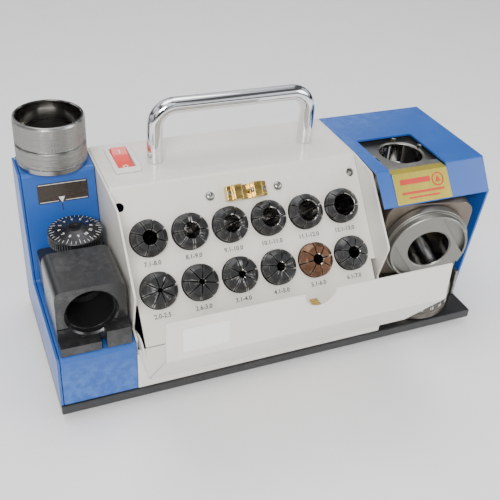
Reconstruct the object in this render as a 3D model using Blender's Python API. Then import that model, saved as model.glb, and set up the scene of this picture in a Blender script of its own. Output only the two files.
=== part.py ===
"""Bench drill bit sharpener: folded steel cabinet on a base plate, with a row of stored collets,
a web setting unit on the left, a swivelling grinding head on the right, and a motor inside.

Metres, +Z up.  Profiles are written in the machine frame: x = 0 at the middle of the base plate,
y = 0 at its front edge, z = 0 on the bench.  SHIFT moves that frame so that the origin ends up under
the middle of the finished machine's bounding box.
"""

import math

import bmesh
import bpy
from mathutils import Matrix, Vector

# ---------------------------------------------------------------- driving dimensions
GAP = 0.0003                     # clearance kept between neighbouring pieces
BASE_LENGTH = 0.270
BASE_DEPTH = 0.1125
BASE_THICKNESS = 0.006
FOOT_HEIGHT = 0.005
FOOT_RADIUS = 0.0065
BASE_TOP = FOOT_HEIGHT + BASE_THICKNESS
FLOOR_OF_CABINET = BASE_TOP + GAP
TOP = 0.108                      # top faces of the three cabinet sections
BACK = 0.1105                    # rear end of the folded sheets
SHEET = 0.0015

LEFT_END = -0.1332               # left housing, inner side
LEFT_INNER = -0.0920
CHEEK_LEFT = -0.0915             # outer face of the centre section's left cheek
CHEEK_RIGHT = 0.0648
CHEEK = 0.0012
HOOD_LEFT = 0.0651
HOOD_RIGHT_LOW = 0.1360          # the hood's side leans outwards
HOOD_RIGHT_TOP = 0.1430

PANEL_BEND = (0.0589, TOP)       # where the top turns down into the collet panel
PANEL_ANGLE = math.radians(50)
PANEL_LENGTH = 0.0893

HINGE = (0.0120, 0.0395)         # cover hinge axis, (y, z)
COVER_OPEN = math.radians(79.6)
COVER_LEGS = ((103.5, 0.0332), (47.7, 0.0478), (8.0, 0.0224))   # closed angle, length
COVER_START = 0.0113             # the sheet begins this far from the hinge
COVER_SHEET = 0.0012
EAR_RADIUS = 0.0036              # of the cover's two hinge ears
FRONT_WALL_TOP = 0.0362

COLLET_FIRST_X = -0.07425
COLLET_PITCH = 0.02417
COLLET_ROWS = {"upper": 0.0306, "lower": 0.0600}     # distance down the panel from its bend
COLLET_SIZES = {"upper": (8, 9, 10, 11, 12, 13), "lower": (2.5, 3, 4, 5, 6, 7)}
COLLET_RADIUS = 0.0104
COLLET_LENGTH = 0.0315
COLLET_STANDS_OUT = 0.0068

SOCKET_RADIUS = 0.01365          # bore of the three ports
HOLDER_AXIS = (-0.1133, 0.0996)
HOLDER_RADIUS = 0.020
HOLDER_WALL = 0.002
HOLDER_SEAM = 0.1220
HOLDER_RIM = 0.1376
DIAL_AXIS = (-0.1096, 0.0630)
DIAL_RADIUS = 0.0154
DIAL_BOTTOM = 0.0758
DIAL_TOP = 0.0847

TURRET_AXIS = (0.1020, 0.0280)
TURRET_TURN = math.radians(-11.7)
TURRET_RADIUS = 0.027
TURRET_DRUM_TOP = 0.027
DISC_CENTRE = (0.0, -0.0170, 0.0600)     # in the turret's own frame
DISC_TILT = math.radians(5.7)
DISC_THICKNESS = 0.010
PLATE_SIDE = 0.056
PLATE_THICKNESS = 0.008

TOP_PORT = (0.1000, 0.0605)
TOP_BLOCK = (0.089, 0.103)
TOP_SCREWS = {"top_screw_rear": (0.1035, 0.0764), "top_screw_right": (0.1159, 0.0635)}
TOP_OPENING = ((0.0740, 0.1145), (0.0370, 0.0745))     # the hood's window over the top port, x and y
MOTOR_AXIS = (0.080, 0.046)      # (y, z)
MOTOR_RADIUS = 0.027
MOTOR_ENDS = (-0.052, 0.038)
SHAFT_RADIUS = 0.004
WHEEL_RADIUS = 0.029
WHEEL_ENDS = (0.088, 0.104)

HANDLE_X = (-0.0567, 0.0408)
HANDLE_Y = 0.0837
HANDLE_AXIS_TOP = 0.1418
HANDLE_BEND = 0.012
HANDLE_TUBE = 0.00475

SWITCH = (-0.0750, 0.0886)
ROCKER_PIVOT = (0.0886, 0.1062)
CATCH_X = -0.0125
GLAND = (-0.078, 0.032)

FRONT_REACH = 0.05012            # how far the open cover stands in front of the base
BACK_REACH = 0.1265              # how far back the cable gland reaches
SHIFT = Vector((-(HOOD_RIGHT_TOP - BASE_LENGTH / 2) / 2, (FRONT_REACH - BACK_REACH) / 2, 0.0))

ROUND = 32                       # facets round a large turned piece
SMALL_ROUND = 16

MATERIALS = {
    "blue_paint": ((0.05, 0.17, 0.50), 0.45, 0.0),
    "white_paint": ((0.84, 0.82, 0.76), 0.45, 0.0),
    "pale_paint": ((0.72, 0.73, 0.72), 0.5, 0.0),
    "black_metal": ((0.025, 0.025, 0.027), 0.4, 0.3),
    "black_plastic": ((0.03, 0.03, 0.03), 0.5, 0.0),
    "red_plastic": ((0.75, 0.06, 0.04), 0.3, 0.0),
    "rubber": ((0.02, 0.02, 0.02), 0.8, 0.0),
    "chrome": ((0.75, 0.75, 0.76), 0.08, 1.0),
    "steel": ((0.45, 0.45, 0.45), 0.3, 1.0),
    "aluminium": ((0.55, 0.54, 0.51), 0.4, 1.0),
    "brass": ((0.70, 0.50, 0.18), 0.3, 1.0),
    "abrasive": ((0.30, 0.24, 0.12), 0.9, 0.0),
}


# ---------------------------------------------------------------- helpers
def clear_scene():
    for item in list(bpy.data.objects):
        bpy.data.objects.remove(item, do_unlink=True)


def material(name):
    existing = bpy.data.materials.get(name)
    if existing:
        return existing
    colour, roughness, metallic = MATERIALS[name]
    made = bpy.data.materials.new(name)
    made.use_nodes = True
    shader = made.node_tree.nodes["Principled BSDF"]
    shader.inputs["Base Color"].default_value = (*colour, 1.0)
    shader.inputs["Roughness"].default_value = roughness
    shader.inputs["Metallic"].default_value = metallic
    made.diffuse_color = (*colour, 1.0)
    return made


def add(name, shape, origin=(0.0, 0.0, 0.0), turn=None, finish=None):
    """Make one object from a bmesh whose points are relative to origin, in the machine frame."""
    bmesh.ops.recalc_face_normals(shape, faces=shape.faces)
    mesh = bpy.data.meshes.new(name)
    shape.to_mesh(mesh)
    shape.free()
    item = bpy.data.objects.new(name, mesh)
    bpy.context.scene.collection.objects.link(item)
    place = Matrix.Translation(Vector(origin) + SHIFT)
    item.matrix_world = place @ turn.to_4x4() if turn else place
    if finish:
        mesh.materials.append(material(finish))
    return item


def extruded(outline, direction, length):
    """A prism: a closed outline of 3-D points pushed along a direction."""
    shape = bmesh.new()
    step = Vector(direction) * length
    low = [shape.verts.new(Vector(p)) for p in outline]
    high = [shape.verts.new(Vector(p) + step) for p in outline]
    shape.faces.new(low)
    shape.faces.new(list(reversed(high)))
    count = len(outline)
    for i in range(count):
        j = (i + 1) % count
        shape.faces.new((low[i], high[i], high[j], low[j]))
    return shape


def along_x(outline_yz, x0, x1):
    return extruded([(x0, y, z) for y, z in outline_yz], (1, 0, 0), x1 - x0)


def along_y(outline_xz, y0, y1):
    return extruded([(x, y0, z) for x, z in outline_xz], (0, 1, 0), y1 - y0)


def along_z(outline_xy, z0, z1):
    return extruded([(x, y, z0) for x, y in outline_xy], (0, 0, 1), z1 - z0)


def block(x0, x1, y0, y1, z0, z1):
    return along_z([(x0, y0), (x1, y0), (x1, y1), (x0, y1)], z0, z1)


def ring(radius, centre=(0.0, 0.0), count=ROUND, start=0.0):
    step = 2 * math.pi / count
    return [(centre[0] + radius * math.cos(start + i * step),
             centre[1] + radius * math.sin(start + i * step)) for i in range(count)]


def rounded_box(x0, x1, z0, z1, radius, corners=4):
    """Rectangle outline with its two upper corners rounded."""
    points = [(x0, z0), (x1, z0)]
    for centre_x, first in ((x1 - radius, 0.0), (x0 + radius, math.pi / 2)):
        for i in range(corners + 1):
            a = first + i * (math.pi / 2) / corners
            points.append((centre_x + radius * math.cos(a), z1 - radius + radius * math.sin(a)))
    return points


def sheet(points, thickness):
    """Outline of a folded sheet: the points run along its outer face, metal lies to their right."""
    path = [Vector(p) for p in points]
    inner = []
    for i, point in enumerate(path):
        sides = []
        if i > 0:
            sides.append((point - path[i - 1]).normalized())
        if i < len(path) - 1:
            sides.append((path[i + 1] - point).normalized())
        rights = [Vector((d.y, -d.x)) for d in sides]
        middle = sum(rights, Vector((0.0, 0.0))).normalized()
        inner.append(point + middle * thickness / middle.dot(rights[0]))
    return [tuple(p) for p in path] + [tuple(p) for p in reversed(inner)]


def turned(profile, count=ROUND):
    """A closed (radius, height) loop spun about local Z.  A radius of zero is a point on the axis."""
    shape = bmesh.new()
    rings = []
    for radius, height in profile:
        if radius == 0.0:
            rings.append([shape.verts.new((0.0, 0.0, height))])
        else:
            rings.append([shape.verts.new((x, y, height)) for x, y in ring(radius, count=count)])
    for i, lower in enumerate(rings):
        upper = rings[(i + 1) % len(rings)]
        if len(lower) == 1 and len(upper) == 1:
            continue
        for k in range(count):
            n = (k + 1) % count
            corners = [lower[k % len(lower)], lower[n % len(lower)],
                       upper[n % len(upper)], upper[k % len(upper)]]
            corners = list(dict.fromkeys(corners))
            shape.faces.new(corners)
    return shape


def tube(path_xz, radius, count=SMALL_ROUND):
    """A round bar that follows a path in the x-z plane, with flat ends."""
    shape = bmesh.new()
    path = [Vector((x, 0.0, z)) for x, z in path_xz]
    across = Vector((0.0, 1.0, 0.0))
    rings = []
    for i, point in enumerate(path):
        before = path[max(i - 1, 0)]
        after = path[min(i + 1, len(path) - 1)]
        side = across.cross(after - before).normalized()
        rings.append([shape.verts.new(point + across * a + side * b) for a, b in ring(radius, count=count)])
    for near, far in zip(rings, rings[1:]):
        for k in range(count):
            n = (k + 1) % count
            shape.faces.new((near[k], near[n], far[n], far[k]))
    shape.faces.new(rings[0])
    shape.faces.new(rings[-1])
    return shape


def rod(radius, low, high, count=SMALL_ROUND):
    return turned([(0.0, low), (radius, low), (radius, high), (0.0, high)], count)


def cutter(shape, origin=(0.0, 0.0, 0.0), turn=None):
    item = add("cutter", shape, origin, turn)
    item.hide_render = True
    item.display_type = "WIRE"
    return item


def combine(item, tool, operation="DIFFERENCE"):
    step = item.modifiers.new(operation.lower(), "BOOLEAN")
    step.operation = operation
    step.solver = "EXACT"
    step.object = tool
    return item


def cut(item, shape, origin=(0.0, 0.0, 0.0), turn=None):
    return combine(item, cutter(shape, origin, turn))


def fuse(item, shape, origin=(0.0, 0.0, 0.0), turn=None):
    return combine(item, cutter(shape, origin, turn), "UNION")


def smooth(item, degrees=35):
    item.data.shade_smooth()
    item.data.set_sharp_from_angle(angle=math.radians(degrees))
    return item


FACING_FRONT = Matrix.Rotation(math.radians(90), 3, "X")      # local Z points to -Y
FACING_BACK = Matrix.Rotation(math.radians(-90), 3, "X")      # local Z points to +Y
FACING_RIGHT = Matrix.Rotation(math.radians(90), 3, "Y")      # local Z points to +X
PANEL_TURN = Matrix.Rotation(PANEL_ANGLE, 3, "X")             # local Z points out of the collet panel


def on_panel(distance, height=0.0):
    """(y, z) of a point a distance down the panel from its bend and a height in front of it."""
    down = Vector((-math.cos(PANEL_ANGLE), -math.sin(PANEL_ANGLE)))
    out = Vector((-math.sin(PANEL_ANGLE), math.cos(PANEL_ANGLE)))
    point = Vector(PANEL_BEND) + down * distance + out * height
    return point.x, point.y


# ---------------------------------------------------------------- base
def make_base():
    half = BASE_LENGTH / 2
    chamfer = 0.0008
    outline = [(-half + chamfer, 0.0), (half - chamfer, 0.0), (half, chamfer), (half, BASE_DEPTH),
               (-half, BASE_DEPTH), (-half, chamfer)]
    add("base_plate", along_z(outline, FOOT_HEIGHT, BASE_TOP), finish="black_metal")
    feet = {"foot_front_left": (-0.115, 0.011), "foot_front_right": (0.103, 0.011),
            "foot_rear_left": (-0.115, 0.100), "foot_rear_right": (0.103, 0.100)}
    profile = [(0.0, 0.0), (FOOT_RADIUS, 0.0), (FOOT_RADIUS + 0.0006, FOOT_HEIGHT - GAP),
               (0.0, FOOT_HEIGHT - GAP)]
    for name, (x, y) in feet.items():
        smooth(add(name, turned(profile, SMALL_ROUND), (x, y, 0.0), finish="rubber"))


# ---------------------------------------------------------------- left housing and setting unit
LEFT_PROFILE = [(0.0010, FLOOR_OF_CABINET), (0.0010, 0.0440), (0.0730, 0.0440), (0.0870, TOP), (BACK, TOP)]


def make_left_housing():
    add("left_housing", along_x(sheet(LEFT_PROFILE, SHEET), LEFT_END, LEFT_INNER), finish="blue_paint")
    side = LEFT_PROFILE + [(BACK, FLOOR_OF_CABINET)]
    add("left_side_plate", along_x(side, -0.1350, LEFT_END - GAP), finish="pale_paint")


def make_setting_unit():
    left, right = -0.1320, -0.0942
    ledge = 0.0440 + GAP
    front, back = 0.0108, 0.0465
    centre = ((left + right) / 2, 0.0636)
    outline = rounded_box(left, right, ledge, 0.0808, 0.005)
    body = add("setting_block", along_y(outline, front, back), finish="black_metal")
    fuse(body, block(left, -0.1105, 0.0030, front + 0.001, ledge, 0.0497))
    fuse(body, block(-0.1075, right, 0.0030, front + 0.001, ledge, 0.0555))
    cut(body, rod(SOCKET_RADIUS, -0.001, 0.0300, ROUND), (centre[0], front, centre[1]), FACING_BACK)

    bracket = add("setting_bracket", block(-0.1310, -0.0925, back + GAP, 0.0725, ledge, 0.0660),
                  finish="black_metal")
    fuse(bracket, rod(0.011, 0.0640, DIAL_BOTTOM - GAP, 24), (*DIAL_AXIS, 0.0))
    cut(bracket, rod(0.0043, 0.0480, DIAL_BOTTOM + 0.001), (*DIAL_AXIS, 0.0))

    spindle_top = DIAL_BOTTOM + 0.0045
    dial_profile = [(0.0043, DIAL_BOTTOM), (DIAL_RADIUS, DIAL_BOTTOM), (DIAL_RADIUS, DIAL_TOP - 0.0022),
                    (0.0048, DIAL_TOP), (0.0, DIAL_TOP), (0.0, spindle_top + GAP),
                    (0.0043, spindle_top + GAP)]
    smooth(add("setting_dial", turned(dial_profile), (*DIAL_AXIS, 0.0), finish="black_metal"))
    smooth(add("dial_spindle", rod(0.0040, 0.0500, spindle_top), (*DIAL_AXIS, 0.0), finish="steel"))


# ---------------------------------------------------------------- drill holder
def make_drill_holder():
    place = (*HOLDER_AXIS, 0.0)
    seat_top = TOP + 0.0052
    bore = 0.01345
    low = TOP + GAP
    inside = HOLDER_RADIUS - HOLDER_WALL
    floor = 0.1163
    spigot = 0.0189
    spigot_top = HOLDER_SEAM + 0.0036
    smooth(add("holder_seat", rod(0.0131, low, seat_top, ROUND), place, finish="black_plastic"))
    body = [(bore, low), (HOLDER_RADIUS - 0.0004, low), (HOLDER_RADIUS - 0.0004, low + 0.003),
            (HOLDER_RADIUS, low + 0.0032), (HOLDER_RADIUS, HOLDER_SEAM), (spigot, HOLDER_SEAM),
            (spigot, spigot_top), (inside, spigot_top), (inside, floor), (bore, floor)]
    smooth(add("holder_body", turned(body), place, finish="steel"))
    nut = [(spigot + GAP, HOLDER_SEAM + GAP), (HOLDER_RADIUS, HOLDER_SEAM + GAP),
           (HOLDER_RADIUS, HOLDER_RIM), (inside, HOLDER_RIM), (inside, spigot_top + GAP),
           (spigot + GAP, spigot_top + GAP)]
    smooth(add("holder_nut", turned(nut), place, finish="steel"))


# ---------------------------------------------------------------- centre section
def make_centre():
    inner_left = CHEEK_LEFT + CHEEK + GAP
    inner_right = CHEEK_RIGHT - CHEEK - GAP
    foot = on_panel(PANEL_LENGTH)
    path = [foot, PANEL_BEND, (BACK, TOP)]
    panel = add("centre_panel", along_x(sheet(path, SHEET), inner_left, inner_right), finish="white_paint")
    notch = 0.0032
    for x0, x1 in ((inner_left - 0.001, inner_left + notch), (inner_right - notch, inner_right + 0.001)):
        cut(panel, block(x0, x1, -0.010, 0.030, 0.030, 0.0575))
    for row, distance in COLLET_ROWS.items():
        y, z = on_panel(distance)
        for i in range(len(COLLET_SIZES[row])):
            x = COLLET_FIRST_X + i * COLLET_PITCH
            cut(panel, rod(COLLET_RADIUS + 0.0001, -0.004, 0.004, 24), (x, y, z), PANEL_TURN)
    cut(panel, block(SWITCH[0] - 0.0068, SWITCH[0] + 0.0068, SWITCH[1] - 0.0143, SWITCH[1] + 0.0143,
                     TOP - 0.005, TOP + 0.005))
    for x in HANDLE_X:
        cut(panel, rod(0.0026, TOP - 0.005, TOP + 0.005), (x, HANDLE_Y, 0.0))

    cheek = [(BACK, FLOOR_OF_CABINET), (BACK, TOP), PANEL_BEND, (0.0372, 0.1060), (0.0056, 0.0712),
             (0.0119, 0.0463), (0.0050, 0.0430), (0.0050, 0.0365), (0.0025, 0.0365),
             (0.0025, FLOOR_OF_CABINET)]
    left = add("cheek_left", along_x(cheek, CHEEK_LEFT, CHEEK_LEFT + CHEEK), finish="white_paint")
    right = add("cheek_right", along_x(cheek, CHEEK_RIGHT - CHEEK, CHEEK_RIGHT), finish="white_paint")
    for side, x in ((left, CHEEK_LEFT), (right, CHEEK_RIGHT)):
        cut(side, rod(0.0017, -0.004, 0.004), (x, *HINGE), FACING_RIGHT)
    cut(right, rod(0.008, -0.004, 0.004, 24), (CHEEK_RIGHT, *MOTOR_AXIS), FACING_RIGHT)

    add("lower_front_wall", block(CHEEK_LEFT - 0.0003, CHEEK_RIGHT, 0.0008, 0.0022, FLOOR_OF_CABINET,
                                  FRONT_WALL_TOP),
        finish="white_paint")
    rear = add("rear_cover", block(-0.1340, 0.1330, BACK + GAP, BACK + 0.0018, FLOOR_OF_CABINET, TOP - 0.002),
               finish="blue_paint")
    cut(rear, rod(0.0062, -0.004, 0.004), (GLAND[0], BACK + 0.001, GLAND[1]), FACING_BACK)


def make_cover():
    """The cover is modelled shut and then turned open about its hinge."""
    corners = []
    y, z = HINGE
    for number, (degrees, length) in enumerate(COVER_LEGS):
        a = math.radians(degrees)
        if number == 0:
            corners.append((y + COVER_START * math.cos(a), z + COVER_START * math.sin(a)))
        y += length * math.cos(a)
        z += length * math.sin(a)
        corners.append((y, z))
    outer = [Vector(c) for c in corners]
    path = [(p.x - HINGE[0], p.y - HINGE[1]) for p in outer]
    turn = Matrix.Rotation(COVER_OPEN, 3, "X")
    origin = (0.0, *HINGE)
    folded = along_x(sheet(path, COVER_SHEET), CHEEK_LEFT, CHEEK_RIGHT)
    cover = add("cover", folded, origin, turn, "white_paint")

    first = math.radians(COVER_LEGS[0][0])
    run = Vector((math.cos(first), math.sin(first)))
    inward = Vector((math.sin(first), -math.cos(first)))
    ear = [tuple(run * u + inward * v) for u, v in ((0.022, 0.0002), (0.0095, 0.0052), (0.004, 0.0052))]
    for i in range(7):
        a = math.radians(90 + 30 * i)
        ear.append(tuple(run * (EAR_RADIUS * math.cos(a)) + inward * (EAR_RADIUS * math.sin(a))))
    for x in (CHEEK_LEFT + CHEEK + 0.0004, CHEEK_RIGHT - CHEEK - 0.0016):
        fuse(cover, along_x(ear, x, x + 0.0012), origin, turn)
        cut(cover, rod(0.0017, -0.002, 0.004), (x, *HINGE), FACING_RIGHT)
    tip = Vector((path[-1][0], path[-1][1]))
    finger = turn @ Vector((0.0, tip.x, tip.y))
    lip_turn = Matrix.Rotation(COVER_OPEN + math.radians(COVER_LEGS[2][0]), 3, "X")
    cut(cover, rod(0.0085, -0.005, 0.005, 24), (CATCH_X, HINGE[0] + finger.y, HINGE[1] + finger.z), lip_turn)

    lip = math.radians(COVER_LEGS[2][0])
    back = Vector((-math.cos(lip), -math.sin(lip)))
    down = Vector((math.sin(lip), -math.cos(lip)))
    start = tip + down * (COVER_SHEET + GAP)
    prong = [start + back * 0.0092, start + back * 0.0140, start + back * 0.0140 + down * 0.0012,
             start + back * 0.0107 + down * 0.0012, start + back * 0.0104 + down * 0.0062,
             start + back * 0.0092 + down * 0.0062]
    add("cover_strike", along_x([tuple(p) for p in prong], CATCH_X - 0.0020, CATCH_X + 0.0020), origin, turn,
        "brass")
    for name, x0, x1 in (("hinge_pin_left", CHEEK_LEFT - 0.0003, CHEEK_LEFT + 0.0036),
                         ("hinge_pin_right", CHEEK_RIGHT - 0.0036, CHEEK_RIGHT + 0.0002)):
        smooth(add(name, rod(0.0014, 0.0, x1 - x0), (x0, *HINGE), FACING_RIGHT, "steel"))


def make_catch():
    y, z = on_panel(0.0131)
    slot = 0.0035
    clamp = block(-0.0125, 0.0125, -0.0044, 0.0044, GAP, 0.0070)
    body = add("catch_body", clamp, (CATCH_X, y, z), PANEL_TURN, "brass")
    cut(body, block(-slot, slot, -0.006, 0.006, 0.0012, 0.009), (CATCH_X, y, z), PANEL_TURN)
    head = [(0.0, GAP), (0.0027, GAP), (0.0022, 0.0012), (0.0, 0.0016)]
    for name, x in (("catch_screw_left", CATCH_X - 0.0214), ("catch_screw_right", CATCH_X + 0.0214)):
        y, z = on_panel(0.0125)
        smooth(add(name, turned(head, SMALL_ROUND), (x, y, z), PANEL_TURN, "steel"))


def collet_profile(bore):
    r = COLLET_RADIUS
    top = COLLET_STANDS_OUT
    low = top - COLLET_LENGTH
    return [(bore, top), (r * 0.72, top), (r, top - 0.0024), (r, 0.0034), (r - 0.0011, 0.0028),
            (r - 0.0011, 0.0014), (r - 0.0002, 0.0008), (0.0065, low), (bore, low)]


def make_collets():
    for row, sizes in COLLET_SIZES.items():
        y, z = on_panel(COLLET_ROWS[row])
        for i, size in enumerate(sizes):
            x = COLLET_FIRST_X + i * COLLET_PITCH
            shape = turned(collet_profile(size / 2000), SMALL_ROUND)
            smooth(add(f"collet_{row}_{i + 1}", shape, (x, y, z), PANEL_TURN, "steel"), 50)


def make_handle():
    points = [(HANDLE_X[0], TOP + GAP)]
    for centre, first in ((HANDLE_X[0] + HANDLE_BEND, math.pi), (HANDLE_X[1] - HANDLE_BEND, math.pi / 2)):
        for i in range(7):
            a = first - i * math.pi / 12
            points.append((centre + HANDLE_BEND * math.cos(a),
                           HANDLE_AXIS_TOP - HANDLE_BEND + HANDLE_BEND * math.sin(a)))
    points.append((HANDLE_X[1], TOP + GAP))
    handle = add("handle", tube(points, HANDLE_TUBE), (0.0, HANDLE_Y, 0.0), finish="chrome")
    smooth(handle)
    shank_top = TOP + 0.010
    screw = [(0.0, TOP - 0.0048), (0.0042, TOP - 0.0048), (0.0042, TOP - SHEET - GAP),
             (0.0022, TOP - SHEET - GAP), (0.0022, shank_top), (0.0, shank_top)]
    for name, x in (("handle_screw_left", HANDLE_X[0]), ("handle_screw_right", HANDLE_X[1])):
        cut(handle, rod(0.0026, TOP - 0.002, shank_top + 0.001), (x, HANDLE_Y, 0.0))
        smooth(add(name, turned(screw, SMALL_ROUND), (x, HANDLE_Y, 0.0), finish="steel"))


def make_switch():
    x, y = SWITCH
    body = add("switch_body", block(-0.0077, 0.0077, -0.0154, 0.0154, TOP + GAP, TOP + 0.0022), (x, y, 0.0),
               finish="white_paint")
    fuse(body, block(-0.0065, 0.0065, -0.0140, 0.0140, 0.0880, TOP + 0.001), (x, y, 0.0))
    cut(body, block(-0.0053, 0.0053, -0.0122, 0.0122, 0.0990, TOP + 0.004), (x, y, 0.0))
    rock = math.radians(9)
    half = 0.0112
    top = 0.0052
    outline = [(0.0, top - 0.0012), (half, top - 0.0012), (half - 0.0010, -0.0030)]
    for i in range(5):
        a = math.radians(-30 - 30 * i)
        outline.append((0.0055 * math.cos(a), 0.0052 * math.sin(a)))
    outline += [(-half + 0.0010, -0.0030), (-half, top - 0.0012)]
    pivot = (x, *ROCKER_PIVOT)
    tilt = Matrix.Rotation(rock, 3, "X")
    add("switch_rocker", along_x(outline, -0.0049, 0.0049), pivot, tilt, "red_plastic")


# ---------------------------------------------------------------- right hood and grinding head
def hood_solid(outline, left, inset):
    """The hood's outer or inner form: its right side leans out from foot to top."""
    shape = bmesh.new()
    foot = outline[0][1]
    near = [shape.verts.new((left, y, z)) for y, z in outline]
    far = []
    for y, z in outline:
        t = (z - 0.0202) / (TOP - 0.0202)
        far.append(shape.verts.new((HOOD_RIGHT_LOW + t * (HOOD_RIGHT_TOP - HOOD_RIGHT_LOW) - inset, y, z)))
    shape.faces.new(near)
    shape.faces.new(list(reversed(far)))
    for i in range(len(outline)):
        j = (i + 1) % len(outline)
        shape.faces.new((near[i], far[i], far[j], near[j]))
    return shape


def make_hood():
    low = 0.0202
    nose = (0.0190, 0.0910)
    outer = [(BACK, low), (BACK, TOP), (0.0338, TOP), nose, (0.0202, low)]
    hood = add("right_hood", hood_solid(outer, HOOD_LEFT, 0.0), finish="blue_paint")
    inner = [(BACK + 0.002, low - 0.002), (BACK + 0.002, TOP - SHEET), (0.0344, TOP - SHEET),
             (nose[0] + 0.0004, nose[1] - 0.0005), (0.0130, nose[1] - 0.0015), (0.0130, low - 0.002)]
    cut(hood, hood_solid(inner, HOOD_LEFT - 0.002, SHEET))
    cut(hood, block(*TOP_OPENING[0], *TOP_OPENING[1], TOP - 0.004, TOP + 0.004))


def make_head_frame():
    head_top = TOP_BLOCK[0] - GAP
    frame = [(0.0180, FLOOR_OF_CABINET), (0.1000, FLOOR_OF_CABINET), (0.1000, head_top),
             (0.0500, head_top), (0.0400, 0.0340), (0.0180, 0.0300)]
    add("head_frame", along_x(frame, 0.1318, 0.1340), finish="aluminium")
    bridge = add("top_socket_block", block(0.0680, 0.1340, 0.0390, 0.0980, *TOP_BLOCK), finish="aluminium")
    cut(bridge, rod(SOCKET_RADIUS, 0.080, 0.110, ROUND), (*TOP_PORT, 0.0))
    head = rod(0.0022, TOP_BLOCK[1] + GAP, TOP_BLOCK[1] + 0.0027)
    for name, (x, y) in TOP_SCREWS.items():
        smooth(add(name, head.copy(), (x, y, 0.0), finish="steel"))
    head.free()


def make_turret():
    place = (*TURRET_AXIS, 0.0)
    turn = Matrix.Rotation(TURRET_TURN, 3, "Z")
    drum = rod(TURRET_RADIUS, FLOOR_OF_CABINET, TURRET_DRUM_TOP, ROUND)
    smooth(add("turret_drum", drum, place, turn, "aluminium"))
    face = turn @ Matrix.Rotation(math.radians(90) + DISC_TILT, 3, "X")
    centre = Vector(place) + turn @ Vector(DISC_CENTRE)
    disc = [(SOCKET_RADIUS, -DISC_THICKNESS), (TURRET_RADIUS, -DISC_THICKNESS), (TURRET_RADIUS, 0.0),
            (SOCKET_RADIUS, 0.0)]
    smooth(add("socket_disc", turned(disc, ROUND), centre, face, "aluminium"))
    half = PLATE_SIDE / 2
    plate_top = -DISC_THICKNESS - GAP
    plate_low = plate_top - PLATE_THICKNESS
    outline = [(-half, -half), (half, -half), (half, half), (-half, half)]
    plate = add("socket_plate", along_z(outline, plate_low, plate_top), centre, face, "aluminium")
    cut(plate, rod(SOCKET_RADIUS, plate_low - 0.002, plate_top + 0.002, ROUND), centre, face)
    web_top = plate_low - GAP
    arm = add("turret_bracket", block(-0.018, 0.018, -0.0310, 0.0260, web_top - 0.005, web_top), centre, face,
              "aluminium")
    fuse(arm, block(-0.018, 0.018, -0.0130, 0.0090, TURRET_DRUM_TOP + GAP, 0.0318), place, turn)
    cut(arm, rod(SOCKET_RADIUS, -0.040, 0.0, ROUND), centre, face)


# ---------------------------------------------------------------- motor and wheel
def make_motor():
    start, end = MOTOR_ENDS
    place = (0.0, *MOTOR_AXIS)
    clearance = SHAFT_RADIUS + GAP
    can = [(0.0200, start), (MOTOR_RADIUS, start), (MOTOR_RADIUS, end), (0.0200, end)]
    smooth(add("motor_can", turned(can), place, FACING_RIGHT, "steel"))
    for name, x0, x1 in (("motor_rear_cap", start - 0.005, start - GAP),
                         ("motor_front_cap", end + GAP, end + 0.006)):
        cap = [(clearance, x0), (MOTOR_RADIUS - 0.001, x0), (MOTOR_RADIUS - 0.001, x1), (clearance, x1)]
        smooth(add(name, turned(cap), place, FACING_RIGHT, "aluminium"))
    shaft = [(0.0, -0.060), (SHAFT_RADIUS, -0.060), (SHAFT_RADIUS, -0.044), (0.0165, -0.044), (0.0165, 0.030),
             (SHAFT_RADIUS, 0.030), (SHAFT_RADIUS, 0.113), (0.0, 0.113)]
    smooth(add("rotor_shaft", turned(shaft, 24), place, FACING_RIGHT, "steel"))
    x0, x1 = WHEEL_ENDS
    wheel = [(clearance, x0), (0.011, x0), (0.013, x0 + 0.003), (WHEEL_RADIUS - 0.004, x0 + 0.003),
             (WHEEL_RADIUS, x0 + 0.006), (WHEEL_RADIUS, x1), (clearance, x1)]
    smooth(add("grinding_wheel", turned(wheel), place, FACING_RIGHT, "abrasive"))
    nut = [(0.0051, x1 + GAP), (0.0080, x1 + GAP), (0.0080, x1 + 0.006), (0.0051, x1 + 0.006)]
    add("wheel_nut", turned(nut, 6), place, FACING_RIGHT, "steel")
    y, z = MOTOR_AXIS
    saddle = [(0.050, FLOOR_OF_CABINET), (0.1085, FLOOR_OF_CABINET), (0.1085, 0.0300)]
    for i in range(9):
        a = math.radians(-35 - 110 * i / 8)
        reach = MOTOR_RADIUS + GAP
        saddle.append((y + reach * math.cos(a), z + reach * math.sin(a)))
    saddle.append((0.050, 0.0300))
    add("motor_cradle", along_x(saddle, -0.040, 0.026), finish="aluminium")


def make_gland():
    end = BACK_REACH - BACK
    profile = [(0.0036, -0.006), (0.0058, -0.006), (0.0058, 0.0021), (0.0090, 0.0021), (0.0090, 0.0085),
               (0.0078, 0.0090), (0.0062, end), (0.0036, end)]
    smooth(add("cable_gland", turned(profile, 24), (GLAND[0], BACK, GLAND[1]), FACING_BACK, "black_plastic"))


clear_scene()
make_base()
make_left_housing()
make_setting_unit()
make_drill_holder()
make_centre()
make_cover()
make_catch()
make_collets()
make_handle()
make_switch()
make_hood()
make_head_frame()
make_turret()
make_motor()
make_gland()
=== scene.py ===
import math

import bmesh
import bpy
from mathutils import Matrix, Vector


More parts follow.
